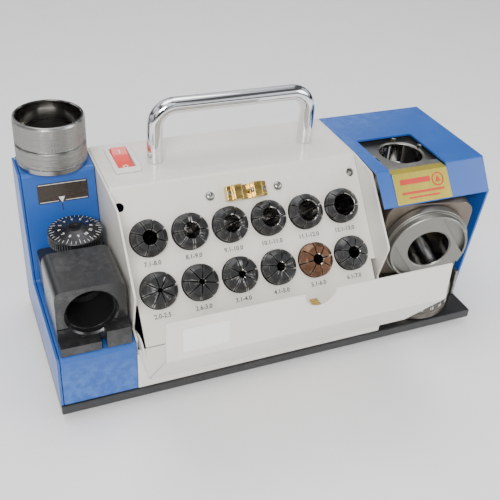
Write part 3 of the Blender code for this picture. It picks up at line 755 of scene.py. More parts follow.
def make_setting_unit():
    low, high = cad("setting_block")
    front = 0.0108
    centre = ((low.x + high.x) / 2, 0.0636)
    outline = filleted([(low.x, low.z), (high.x, low.z), (high.x, high.z), (low.x, high.z)],
                       [0.0004, 0.0004, 0.005, 0.005])
    left_lip = placed(block(low.x, -0.1105, 0.0030, front + 0.001, low.z, 0.0497))
    right_lip = block(-0.1075, high.x, 0.0030, front + 0.001, low.z, 0.0555)
    bore = placed(turned([(0.0, -0.001), (PORT_RADIUS + 0.0018, -0.001), (PORT_RADIUS, 0.0010),
                          (PORT_RADIUS, 0.0300),
                          (0.0, 0.0300)]), (centre[0], front, centre[1]), FACING_BACK)
    groove = block(low.x - 0.001, high.x + 0.001, front - 0.001, front + 0.0008, 0.0468 + 0.0090,
                   0.0468 + 0.0100)
    piece("setting_block_enamelled", along_y(outline, front, high.y), "cabinet", black_gloss(),
          joins=[left_lip, right_lip], cuts=[bore, groove], stands_for=["setting_block"], bevel=0.0007)
    liner = [(PORT_RADIUS - 0.0006, 0.004), (PORT_RADIUS - 0.0001, 0.004), (PORT_RADIUS - 0.0001, 0.0290),
             (PORT_RADIUS - 0.0030, 0.0290), (PORT_RADIUS - 0.0030, 0.0275), (PORT_RADIUS - 0.0006, 0.0270)]
    piece("setting_bore_liner", turned(liner), "cabinet", dark_steel(),
          (centre[0], front, centre[1]),
          FACING_BACK, bevel=0.0001, steps=2)
    stop = block(-0.0028, 0.0028, -PORT_RADIUS + 0.0012, -PORT_RADIUS + 0.0042, 0.0120, 0.0260)
    piece("setting_bore_key", stop, "cabinet", steel("straight"), (centre[0], front, centre[1]),
          FACING_BACK, bevel=0.0004)

    low, high = cad("setting_bracket")
    arm = filleted([(low.x, low.y), (high.x, low.y), (high.x, high.y), (low.x, high.y)], 0.003)
    neck = placed(rod(0.011, 0.0640, DIAL_BOTTOM - GAP), (*DIAL_AXIS, 0.0))
    hole = placed(rod(0.0043, 0.0480, DIAL_BOTTOM + 0.001), (*DIAL_AXIS, 0.0))
    piece("setting_bracket_enamelled", along_z(arm, low.z, 0.0660), "cabinet", black_gloss(),
          joins=[neck], cuts=[hole], stands_for=["setting_bracket"], bevel=0.0006)


def make_dial():
    grip = 60

    def ribs(angle, radius, height):
        on_side = radius > DIAL_RADIUS - 0.0002 and DIAL_BOTTOM + 0.0009 < height < DIAL_TOP - 0.0030
        return -0.00035 * (0.5 + 0.5 * math.cos(grip * angle)) if on_side else 0.0

    spindle_top = DIAL_BOTTOM + 0.0045 + GAP
    shoulder = DIAL_TOP - 0.0022
    side = [(DIAL_RADIUS, DIAL_BOTTOM + 0.0004 + i * (shoulder - DIAL_BOTTOM - 0.0008) / 8) for i in range(9)]
    profile = ([(0.0043, DIAL_BOTTOM), (DIAL_RADIUS - 0.0004, DIAL_BOTTOM)] + side
               + [(DIAL_RADIUS - 0.0004, shoulder + 0.00005), (0.0052, DIAL_TOP - 0.0002), (0.0048, DIAL_TOP),
                  (0.0030, DIAL_TOP), (0.0026, DIAL_TOP - 0.0008), (0.0, DIAL_TOP - 0.0008),
                  (0.0, spindle_top), (0.0043, spindle_top)])
    piece("setting_dial_graduated", turned(profile, grip * 6, ribs), "dial", dial_black(),
          (*DIAL_AXIS, 0.0), stands_for=["setting_dial"], bevel=0)
    slope = math.atan2(0.0022, DIAL_RADIUS - 0.0048)
    ticks = []
    words = []
    for i in range(36):
        a = 2 * math.pi * i / 36
        length = 0.0032 if i % 3 == 0 else 0.0018
        middle = DIAL_RADIUS - 0.0007 - length / 2
        height = DIAL_TOP - (middle - 0.0048) * math.tan(slope) + 0.00004
        turn = Matrix.Rotation(a, 3, "Z") @ Matrix.Rotation(slope, 3, "Y")
        tick = block(-length / 2, length / 2, -0.00010, 0.00010, -0.00005, 0.00005)
        ticks.append(placed(tick, (middle * math.cos(a), middle * math.sin(a), height), turn))
        if i % 3 == 0:
            reach = 0.0090
            height = DIAL_TOP - (reach - 0.0048) * math.tan(slope) + 0.00006
            turn = Matrix.Rotation(a, 3, "Z") @ Matrix.Rotation(slope, 3, "Y") @ Matrix.Rotation(math.pi / 2,
                                                                                                 3, "Z")
            words.append((str(i // 3), 0.0026,
                          (DIAL_AXIS.x + reach * math.cos(a), DIAL_AXIS.y + reach * math.sin(a),
                                               height), turn))
    piece("dial_ticks", gathered(ticks), "dial", white_print(), (*DIAL_AXIS, 0.0), bevel=0)
    lettering("dial_numbers", words, "dial", white_print())


def dial_black():
    return finish("dial_black_anodised", (0.022, 0.022, 0.024), 0.22, 0.55, tint=0.1, bump=0.25,
                  brushed="turned",
                  edge_wear_and_highlight=0.5, edge_wear_and_highlight_colour=(0.4, 0.4, 0.4))


# ---------------------------------------------------------------- drill holder
def make_holder():
    def knurl(low, high, pitch, depth):
        around = round(2 * math.pi * HOLDER_RADIUS / pitch)

        def relief(angle, radius, height):
            if radius < HOLDER_RADIUS - 0.0001 or not low < height < high:
                return 0.0
            u = angle * around / (2 * math.pi)
            v = (height - low) / pitch
            groove = max(abs((u + v) % 1.0 - 0.5), abs((u - v) % 1.0 - 0.5))
            return -depth * max(0.0, (groove - 0.28) / 0.22)
        return relief

    place = (*HOLDER_AXIS, 0.0)
    low = TOP + GAP
    inside = HOLDER_RADIUS - 0.002
    bore = 0.01345
    floor = 0.1163
    spigot = 0.0189
    spigot_top = HOLDER_SEAM + 0.0036
    pitch = 0.00125
    facets = 480

    def stretch(start, end, count):
        return [(HOLDER_RADIUS, start + (end - start) * i / count) for i in range(count + 1)]

    body = ([(bore + 0.0004, low), (HOLDER_RADIUS - 0.0010, low), (HOLDER_RADIUS - 0.0004, low + 0.0005),
             (HOLDER_RADIUS - 0.0004, low + 0.0030), (HOLDER_RADIUS - 0.0001, low + 0.0034)]
            + stretch(low + 0.0036, HOLDER_SEAM - 0.0006, 28)
            + [(HOLDER_RADIUS - 0.0005, HOLDER_SEAM), (spigot, HOLDER_SEAM), (spigot, spigot_top),
               (inside, spigot_top), (inside, floor + 0.0012), (inside - 0.0012, floor), (bore, floor),
               (bore, low + 0.0004)])
    piece("holder_body_knurled",
          turned(body, facets, knurl(low + 0.0037, HOLDER_SEAM - 0.0007, pitch, 0.00028)),
          "holder", [steel(), polished_steel()], place, stands_for=["holder_body"], bevel=0,
          paint=lambda c, n: 1 if math.hypot(c.x, c.y) < inside + 0.0001 else 0)
    nut = ([(spigot + GAP, HOLDER_SEAM + GAP), (HOLDER_RADIUS - 0.0005, HOLDER_SEAM + GAP)]
           + stretch(HOLDER_SEAM + 0.0009, HOLDER_RIM - 0.0016, 42)
           + [(HOLDER_RADIUS - 0.0004, HOLDER_RIM - 0.0008), (HOLDER_RADIUS - 0.0006, HOLDER_RIM - 0.0002),
              (HOLDER_RADIUS - 0.0009, HOLDER_RIM), (inside + 0.0004, HOLDER_RIM),
              (inside, HOLDER_RIM - 0.0004),
              (inside, spigot_top + GAP), (spigot + GAP, spigot_top + GAP)])
    piece("holder_nut_knurled",
          turned(nut, facets, knurl(HOLDER_SEAM + 0.001, HOLDER_RIM - 0.0017, pitch, 0.00028)),
          "holder_nut", [steel(), polished_steel()], place, stands_for=["holder_nut"], bevel=0,
          paint=lambda c, n: 1 if math.hypot(c.x, c.y) < inside + 0.0008 else 0)
    seat = [(0.0, low), (0.0131, low), (0.0131, low + 0.0040), (0.0124, low + 0.0049), (0.0060, low + 0.0049),
            (0.0055, low + 0.0044), (0.0, low + 0.0044)]
    piece("holder_seat_moulded", turned(seat), "cabinet", black_plastic(), place,
          stands_for=["holder_seat"], bevel=0)


# ---------------------------------------------------------------- centre section
def collet_places():
    for row, sizes in COLLET_SIZES.items():
        for i, size in enumerate(sizes):
            yield row, i, size, Vector((COLLET_FIRST_X + i * COLLET_PITCH, *on_panel(COLLET_ROWS[row])))


def make_panel():
    low, high = cad("centre_panel")
    path = [on_panel(PANEL_LENGTH), PANEL_BEND, Vector((BACK, TOP))]
    notch = 0.0032
    cuts = []
    for x0, x1 in ((low.x - 0.001, low.x + notch), (high.x - notch, high.x + 0.001)):
        cuts.append(block(x0, x1, -0.010, 0.030, 0.030, 0.0575))
    for row, i, size, centre in collet_places():
        cuts.append(placed(rod(COLLET_RADIUS + 0.0002, -0.004, 0.004, 96), centre, PANEL_TURN))
    for x in (-0.0865, 0.0583):
        cuts.append(placed(rod(0.0026, -0.004, 0.004, 40), (x, *on_panel(0.0110)), PANEL_TURN))
    cuts.append(block(SWITCH.x - 0.0068, SWITCH.x + 0.0068, SWITCH.y - 0.0143, SWITCH.y + 0.0143, TOP - 0.005,
                      TOP + 0.005))
    for x in HANDLE_X:
        cuts.append(placed(rod(0.0026, TOP - 0.005, TOP + 0.005), (x, HANDLE_Y, 0.0)))
    piece("centre_panel_folded", along_x(folded(path, SHEET, 0.0020), low.x, high.x), "cabinet",
          white_paint(), cuts=cuts, stands_for=["centre_panel"], bevel=0.00025)
    screw = placed(turned([(0.0, -0.0046), (0.0021, -0.0046), (0.0021, -0.0028), (0.0017, -0.0023),
                           (0.0, -0.0022)], 32))
    piece("panel_side_screw", screw, "cabinet", steel(), (0.0583, *on_panel(0.0110)), PANEL_TURN,
          cuts=[block(-0.0018, 0.0018, -0.0003, 0.0003, -0.0029, -0.0010)], bevel=0.0001, steps=2)
    words = []
    for row, i, size, centre in collet_places():
        text = f"{COLLET_LOW_ENDS[row][i]:.1f}-{size:.1f}"
        words.append((text, 0.0036, (centre.x, *on_panel(COLLET_ROWS[row] + 0.0142, 0.00002)), PANEL_TURN))
    lettering("collet_size_numbers", words, "cabinet", grey_print())


def make_cheeks():
    outline = [(BACK, CABINET_FLOOR), (BACK, TOP), tuple(PANEL_BEND), (0.0372, 0.1060), (0.0056, 0.0712),
               (0.0119, 0.0463), (0.0050, 0.0430), (0.0050, 0.0365), (0.0025, 0.0365),
               (0.0025, CABINET_FLOOR)]
    radii = [0.0, 0.0, 0.006, 0.0025, 0.0025, 0.0012, 0.0004, 0.0004, 0.0002, 0.0]
    for side, x0 in (("left", CHEEK_LEFT), ("right", CHEEK_RIGHT - CHEEK)):
        cuts = [placed(rod(0.0017, -0.004, 0.004, 32), (x0, *HINGE), FACING_RIGHT)]
        if side == "right":
            cuts.append(placed(rod(0.008, -0.004, 0.004), (x0, *MOTOR_AXIS), FACING_RIGHT))
        piece(f"cheek_{side}_plate", along_x(filleted(outline, radii), x0, x0 + CHEEK), "cabinet",
              white_paint(), cuts=cuts, stands_for=[f"cheek_{side}"], bevel=0.0003)
        low, high = cad(f"hinge_pin_{side}")
        pin = [(0.0, 0.0), (0.0014, 0.0), (0.0014, high.x - low.x), (0.0, high.x - low.x)]
        piece(f"cover_pin_{side}", turned(pin, 32), "cabinet", steel(), (low.x, *HINGE),
              FACING_RIGHT,
              stands_for=[f"hinge_pin_{side}"], bevel=0.0002, steps=2)
    low, high = cad("lower_front_wall")
    piece("lower_front_wall_plate", block(low.x, high.x, low.y, high.y, low.z, high.z), "cabinet",
          white_paint(), stands_for=["lower_front_wall"], bevel=0.0003)


def closed_cover_corners():
    """The shut cover's outer corners, (y, z) from the hinge."""
    corners = [direction(COVER_LEGS[0][0]) * COVER_START]
    reach = Vector((0.0, 0.0))
    for degrees, length in COVER_LEGS:
        reach = reach + direction(degrees) * length
        corners.append(reach.copy())
    return corners


def make_cover():
    path = closed_cover_corners()
    origin = (0.0, *HINGE)
    run = direction(COVER_LEGS[0][0])
    inward = Vector((run.y, -run.x))
    ear = [run * u + inward * v for u, v in ((0.022, 0.0002), (0.0095, 0.0052), (0.004, 0.0052))]
    for i in range(13):
        a = math.radians(90 + 15 * i)
        ear.append(run * (0.0036 * math.cos(a)) + inward * (0.0036 * math.sin(a)))
    joins, cuts = [], []
    for x in (CHEEK_LEFT + CHEEK + 0.0004, CHEEK_RIGHT - CHEEK - 0.0016):
        joins.append(along_x(ear, x, x + 0.0012))
        cuts.append(placed(rod(0.0017, -0.002, 0.004, 32), (x, 0.0, 0.0), FACING_RIGHT))
    tip = path[-1]
    lip_turn = Matrix.Rotation(math.radians(COVER_LEGS[2][0]), 3, "X")
    cuts.append(placed(rod(0.0085, -0.005, 0.005, 96), (CATCH_X, tip.x, tip.y), lip_turn))
    piece("cover_folded", along_x(folded(path, COVER_SHEET, 0.0012), CHEEK_LEFT, CHEEK_RIGHT), "cover",
          white_paint(), origin, COVER_TURN, cuts=cuts, joins=joins, stands_for=["cover"],
          bevel=0.00028, baked=True)
    back = -direction(COVER_LEGS[2][0])
    down = Vector((-back.y, back.x))
    start = tip + down * (COVER_SHEET + GAP)
    prong = [(0.0092, 0.0), (0.0140, 0.0), (0.0140, 0.0012), (0.0107, 0.0012), (0.0104, 0.0062),
             (0.0092, 0.0062)]
    outline = filleted([start + back * u + down * v for u, v in prong],
                       [0.0002, 0.0002, 0.0002, 0.0004, 0.0003, 0.0003])
    piece("cover_tongue", along_x(outline, CATCH_X - 0.0020, CATCH_X + 0.0020), "cover", brass(),
          origin,
          COVER_TURN, stands_for=["cover_strike"], bevel=0.0002, steps=2, baked=True)
    make_cover_label(path)


def make_cover_label(path):
    """A blank paper label on the lip's outer face, which faces the front when the cover is open."""
    lip = direction(COVER_LEGS[2][0])
    out = Vector((-lip.y, lip.x))
    centre = path[-2] + lip * 0.0110 + out * 0.0001
    outline = filleted([(-0.0115, -0.0066), (0.0115, -0.0066), (0.0115, 0.0066), (-0.0115, 0.0066)], 0.0008)
    turn = Matrix.Rotation(math.radians(COVER_LEGS[2][0]), 3, "X")
    shape = placed(along_z(outline, -0.00008, 0.00008), (-0.0718, centre.x, centre.y), turn)
    piece("cover_blank_label", shape, "cover", paper_label(), (0.0, *HINGE), COVER_TURN,
          bevel=0, baked=True)


def make_catch():
    place = (CATCH_X, *on_panel(0.0131))
    half = 0.0125
    slot = 0.0035
    outline = filleted([(-half, -0.0044), (half, -0.0044), (half, 0.0044), (-half, 0.0044)], 0.0008)
    cut_slot = block(-slot, slot, -0.006, 0.006, 0.0012, 0.009)
    shoulders = [block(-half - 0.001, -0.0088, -0.006, 0.006, 0.0045, 0.009),
                 block(0.0088, half + 0.001, -0.006, 0.006, 0.0045, 0.009)]
    piece("catch_body_stamped", along_z(outline, GAP, 0.0070), "cabinet", brass(), place, PANEL_TURN,
          cuts=[cut_slot] + shoulders, stands_for=["catch_body"], bevel=0.0004)
    balls = [ball(0.0016, (side * (slot + 0.0002), 0.0, 0.0042)) for side in (-1, 1)]
    piece("catch_balls", gathered(balls), "cabinet", steel(), place, PANEL_TURN, bevel=0)
    caps = [placed(turned([(0.0, 0.0), (0.0014, 0.0), (0.0012, 0.0004), (0.0, 0.0005)], 32),
                   (side * 0.0108, 0.0, 0.0045))
            for side in (-1, 1)]
    piece("catch_rivets", gathered(caps), "cabinet", steel(), place, PANEL_TURN, bevel=0)
    profile = [(0.0, GAP), (0.0027, GAP), (0.0026, 0.0007), (0.0020, 0.0013), (0.0010, 0.0016), (0.0, 0.0016)]
    cross = [block(-0.0015, 0.0015, -0.00025, 0.00025, 0.0009, 0.003),
             block(-0.00025, 0.00025, -0.0015, 0.0015, 0.0009, 0.003)]
    for side, x in (("left", CATCH_X - 0.0214), ("right", CATCH_X + 0.0214)):
        tools = [shape.copy() for shape in cross]
        piece(f"panel_screw_{side}", turned(profile, 48), "cabinet", steel(), (x, *on_panel(0.0125)),
              PANEL_TURN, cuts=tools, stands_for=[f"catch_screw_{side}"], bevel=0)
    for shape in cross:
        shape.free()


def make_collets():
    r = COLLET_RADIUS
    top = COLLET_STANDS_OUT
    low = top - COLLET_LENGTH
    for row, i, size, centre in collet_places():
        bore = size / 2000
        mouth = bore + 0.0005
        profile = [(bore, top - 0.0006), (mouth, top), (r * 0.72, top), (r * 0.72 + 0.0002, top - 0.0001),
                   (r - 0.0001, top - 0.0023), (r, top - 0.0026), (r, 0.0036), (r - 0.0001, 0.0034),
                   (r - 0.0011, 0.0028), (r - 0.0011, 0.0014), (r - 0.0002, 0.0008), (0.0065, low + 0.0006),
                   (0.0060, low), (bore + 0.0003, low), (bore, low + 0.0003)]
        slits = []
        count = 8
        for k in range(count):
            turn = Matrix.Rotation(2 * math.pi * (k + 0.25) / count, 3, "Z")
            slits.append(placed(block(max(0.0010, bore * 0.7), r + 0.002, -0.00032, 0.00032, -0.0160,
                                      top + 0.001),
                                (0.0, 0.0, 0.0), turn))
        spin = Matrix.Rotation(0.37 * i + (0.2 if row == "upper" else 0.0), 3, "Z")
        node = f"collet_{row}_{i + 1}"
        coppery = node == "collet_lower_5"
        inside = bore + 0.0001
        piece(f"{node}_slit", turned(profile, 96), node,
              [coppery_steel() if coppery else dark_steel(), polished_steel()], centre, PANEL_TURN @ spin,
              cuts=[gathered(slits)], stands_for=[node], bevel=0.00012, steps=2,
              paint=lambda c, n, b=inside: 1 if math.hypot(c.x, c.y) < b + 0.0003 and abs(n.z) < 0.9 else 0)


def coppery_steel():
    return finish("heat_tinted_steel", (0.16, 0.075, 0.040), 0.30, 0.7, tint=0.25, bump=0.2, brushed="turned",
                  edge_wear_and_highlight=0.95, edge_wear_and_highlight_colour=(0.70, 0.55, 0.45))


def make_handle():
    curve = bpy.data.curves.new("handle_bar", "CURVE")
    curve.dimensions = "3D"
    curve.bevel_depth = HANDLE_TUBE
    curve.bevel_resolution = 10
    curve.use_fill_caps = True
    points = [Vector((HANDLE_X[0], 0.0, TOP + GAP))]
    for centre, first in ((HANDLE_X[0] + HANDLE_BEND, math.pi), (HANDLE_X[1] - HANDLE_BEND, math.pi / 2)):
        for i in range(13):
            a = first - i * math.pi / 24
            points.append(Vector((centre + HANDLE_BEND * math.cos(a), 0.0,
                                  HANDLE_AXIS_TOP - HANDLE_BEND + HANDLE_BEND * math.sin(a))))
    points.append(Vector((HANDLE_X[1], 0.0, TOP + GAP)))
    spline = curve.splines.new("POLY")
    spline.points.add(len(points) - 1)
    for target, point in zip(spline.points, points):
        target.co = (*point, 1.0)
    holder = bpy.data.objects.new("handle_bar", curve)
    bpy.context.scene.collection.objects.link(holder)
    bpy.context.view_layer.update()
    mesh = bpy.data.meshes.new_from_object(holder.evaluated_get(bpy.context.evaluated_depsgraph_get()))
    shape = bmesh.new()
    shape.from_mesh(mesh)
    bmesh.ops.remove_doubles(shape, verts=shape.verts, dist=0.00001)
    bpy.data.objects.remove(holder)
    bpy.data.curves.remove(curve)
    bpy.data.meshes.remove(mesh)
    cuts = [placed(rod(0.0026, TOP - 0.002, TOP + 0.011, 32), (x, 0.0, 0.0)) for x in HANDLE_X]
    piece("handle_chromed", shape, "cabinet", chrome(), (0.0, HANDLE_Y, 0.0), cuts=cuts,
          stands_for=["handle"], bevel=0)
    for side, x in (("left", HANDLE_X[0]), ("right", HANDLE_X[1])):
        head = [(0.0, TOP - 0.0048), (0.0038, TOP - 0.0048), (0.0042, TOP - 0.0044),
                (0.0042, TOP - SHEET - GAP),
                (0.0022, TOP - SHEET - GAP), (0.0022, TOP + 0.0100), (0.0, TOP + 0.0100)]
        piece(f"handle_bolt_{side}", turned(head, 48), "cabinet", steel(), (x, HANDLE_Y, 0.0),
              stands_for=[f"handle_screw_{side}"], bevel=0)


def make_switch():
    place = (SWITCH.x, SWITCH.y, 0.0)
    frame_outline = filleted([(-0.0077, -0.0154), (0.0077, -0.0154), (0.0077, 0.0154), (-0.0077, 0.0154)],
                             0.0012)
    neck = block(-0.0065, 0.0065, -0.0140, 0.0140, 0.0880, TOP + 0.001)
    well = block(-0.0053, 0.0053, -0.0122, 0.0122, 0.0990, TOP + 0.004)
    piece("switch_frame", along_z(frame_outline, TOP + GAP, TOP + 0.0022), "cabinet",
          white_plastic(), place, joins=[neck], cuts=[well], stands_for=["switch_body"], bevel=0.0005)
    half = 0.0112
    top = 0.0040
    outline = [Vector((half - 0.0010, -0.0030)), Vector((half, top))]
    steps = 12
    for i in range(1, steps):
        y = half - 2 * half * i / steps
        outline.append(Vector((y, top - 0.0014 * (1 - (y / half) ** 2))))
    outline += [Vector((-half, top)), Vector((-half + 0.0010, -0.0030))]
    for i in range(9):
        a = math.radians(-150 + 15 * i)
        outline.append(Vector((0.0055 * math.cos(a), 0.0052 * math.sin(a))))
    turn = Matrix.Rotation(math.radians(9), 3, "X")
    pivot = (SWITCH.x, *ROCKER_PIVOT)
    piece("switch_rocker_moulded", along_x(outline, -0.0049, 0.0049), "rocker", red_plastic(),
          pivot,
          turn, stands_for=["switch_rocker"], bevel=0.0005)
    marks = [placed(block(-0.0003, 0.0003, -0.0016, 0.0016, -0.00005, 0.00005), (0.0, 0.0072, top - 0.00070),
                    Matrix.Rotation(math.radians(9), 3, "X")),
             placed(turned([(0.0011, -0.00005), (0.0016, -0.00005), (0.0016, 0.00005), (0.0011, 0.00005)],
                           32),
                    (0.0, -0.0072, top - 0.00070), Matrix.Rotation(math.radians(-9), 3, "X"))]
    piece("switch_rocker_marks", gathered(marks), "rocker", white_print(), pivot, turn,
          bevel=0)


# ---------------------------------------------------------------- right hood and grinding head
def hood_form(outline, left, inset):
    """The hood's outer or inner form: its right side leans out from foot to top."""
    shape = bmesh.new()
    near = [shape.verts.new((left, p[0], p[1])) for p in outline]
    far = []
    for p in outline:
        t = (p[1] - HOOD_FOOT) / (TOP - HOOD_FOOT)
        far.append(shape.verts.new((HOOD_RIGHT[0] + t * (HOOD_RIGHT[1] - HOOD_RIGHT[0]) - inset, p[0], p[1])))
    shape.faces.new(near)
    shape.faces.new(list(reversed(far)))
    for i in range(len(outline)):
        j = (i + 1) % len(outline)
        shape.faces.new((near[i], far[i], far[j], near[j]))
    return shape


def make_hood():
    outer = filleted([(BACK, HOOD_FOOT), (BACK, TOP), (HOOD_FOLD, TOP), HOOD_NOSE, (0.0202, HOOD_FOOT)],
                     [0.0, 0.0, 0.0022, 0.0006, 0.0])
    inner = [(BACK + 0.002, HOOD_FOOT - 0.002), (BACK + 0.002, TOP - SHEET),
             (HOOD_FOLD + 0.0006, TOP - SHEET),
             (HOOD_NOSE[0] + 0.0004, HOOD_NOSE[1] - 0.0005), (0.0130, HOOD_NOSE[1] - 0.0015),
             (0.0130, HOOD_FOOT - 0.002)]
    (x0, x1), (y0, y1) = WINDOW
    window = along_z(filleted([(x0, y0 - 0.002), (x1, y0 - 0.002), (x1, y1), (x0, y1)],
                              [0.0, 0.0, 0.0012, 0.0012]),
                     TOP - 0.004, TOP + 0.004)
    over_fold = block(x0, x1, FLAP_BEND[0] - 0.0020, y0, FLAP_BEND[1], TOP + 0.004)
    piece("right_hood_folded", hood_form(outer, HOOD_LEFT, 0.0), "cabinet", blue_paint(),
          cuts=[hood_form(inner, HOOD_LEFT - 0.002, SHEET), window, over_fold], stands_for=["right_hood"],
          bevel=0.00045)
    make_flap()


def make_flap():
    """The gold-faced plate that closes the window's front and wraps over the hood's fold."""
    x0, x1 = WINDOW[0][0] + 0.0006, WINDOW[0][1] - 0.0006
    fold = Vector((HOOD_FOLD, TOP))
    down = (Vector(HOOD_NOSE) - fold).normalized()
    out = Vector((down.y, -down.x))
    bend = Vector(FLAP_BEND) + out * 0.00035
    foot = Vector(HOOD_NOSE) - down * 0.0006 + out * 0.00035
    back = Vector((0.0418, bend.y))
    piece("window_flap_metal", along_x(folded([foot, bend, back], 0.00032, 0.0004), x0, x1), "cabinet",
          aluminium("x"), bevel=0.0001, steps=2)
    lift = 0.00005
    gold_back = Vector((0.0367, bend.y + lift))
    path = [foot + out * lift + down * 0.0002, bend + Vector((-0.00002, lift)), gold_back]
    piece("window_flap_gold", along_x(folded(path, 0.00006, 0.0003), x0 + 0.0002, x1 - 0.0002), "cabinet",
          gold_label(), bevel=0)
    length = (foot - bend).length
    turn = Matrix((( 1, 0, 0), (0, -down.x, out.x), (0, -down.y, out.y)))
    shapes = []
    middle = (x0 + x1) / 2
    for distance, left, right, half in ((0.0055, -0.0150, 0.0060, 0.0016), (0.0125, -0.0150, 0.0150, 0.0007),
                                        (0.0155, -0.0110, 0.0110, 0.0005)):
        if distance < length:
            centre = bend + down * distance + out * (lift + 0.0001)
            bar = block(left, right, -half, half, -0.00004, 0.00004)
            shapes.append(placed(bar, (middle, centre.x, centre.y), turn))
    sign = bend + down * 0.0065 + out * (lift + 0.0001)
    circle = turned([(0.0035, -0.00004), (0.0042, -0.00004), (0.0042, 0.00004), (0.0035, 0.00004)], 48)
    shapes.append(placed(circle, (middle + 0.0115, sign.x, sign.y), turn))
    dot = along_z([(-0.0020, -0.0015), (0.0020, -0.0015), (0.0, 0.0021)], -0.00004, 0.00004)
    shapes.append(placed(dot, (middle + 0.0115, sign.x, sign.y), turn))
    piece("window_flap_print", gathered(shapes), "cabinet", red_print(), bevel=0)


def make_head_frame():
    low, high = cad("head_frame")
    outline = filleted([(low.y, low.z), (high.y, low.z), (high.y, high.z), (0.0500, high.z), (0.0400, 0.0340),
                        (low.y, 0.0300)], [0.0, 0.001, 0.001, 0.004, 0.004, 0.001])
    piece("head_frame_plate", along_x(outline, low.x, high.x), "cabinet", aluminium("y"),
          stands_for=["head_frame"], bevel=0.0004)
    low, high = cad("top_socket_block")
    outline = filleted([(low.x, low.y), (high.x, low.y), (high.x, high.y), (low.x, high.y)], 0.002)
    bore = placed(turned([(0.0, 0.080), (PORT_RADIUS, 0.080), (PORT_RADIUS, high.z - 0.0010),
                          (PORT_RADIUS + 0.0011, high.z + 0.0001), (PORT_RADIUS + 0.0011, 0.110),
                          (0.0, 0.110)]),
                  (*TOP_PORT, 0.0))
    pockets = []
    for y0, y1, reach in ((0.0655, 0.0770, 0.0795), (0.0530, 0.0605, 0.0805)):
        pocket = filleted([(0.0660, y0), (reach, y0), (reach, y1), (0.0660, y1)], [0.0, 0.0022, 0.0022, 0.0])
        pockets.append(along_z(pocket, high.z - 0.0095, high.z + 0.002))
    piece("top_port_block", along_z(outline, low.z, high.z), "cabinet",
          [aluminium("x"), polished_steel()],
          cuts=[bore] + pockets, stands_for=["top_socket_block"], bevel=0.0004,
          paint=lambda c, n: 1 if (c.xy - TOP_PORT).length < PORT_RADIUS + 0.0002 and abs(n.z) < 0.5 else 0)
    for side in ("rear", "right"):
        low, high = cad(f"top_screw_{side}")
        middle = (low + high) / 2
        cap_screw(f"top_cap_screw_{side}", (high.x - low.x) / 2, high.z - low.z, (middle.x, middle.y, low.z),
                  FACING_UP, "cabinet", [f"top_screw_{side}"])


def cap_screw(name, radius, height, place, turn, body, stands_for=()):
    """A socket-head screw: knurled head with a hexagon recess."""
    grip = 30

    def ribs(angle, r, z):
        on_side = r > radius - 0.0001 and 0.0002 < z < height - 0.0005
        return -0.00010 * (0.5 + 0.5 * math.cos(grip * angle)) if on_side else 0.0

    profile = [(0.0, 0.0), (radius - 0.0001, 0.0), (radius, 0.0003), (radius, height - 0.0006),
               (radius - 0.0003, height - 0.0001), (radius - 0.0005, height), (0.0, height)]
    recess = along_z(ring(radius * 0.52, 6), height * 0.45, height + 0.001)
    return piece(name, turned(profile, grip * 4, ribs), body, steel(), place, turn, cuts=[recess],
                 stands_for=stands_for, bevel=0)


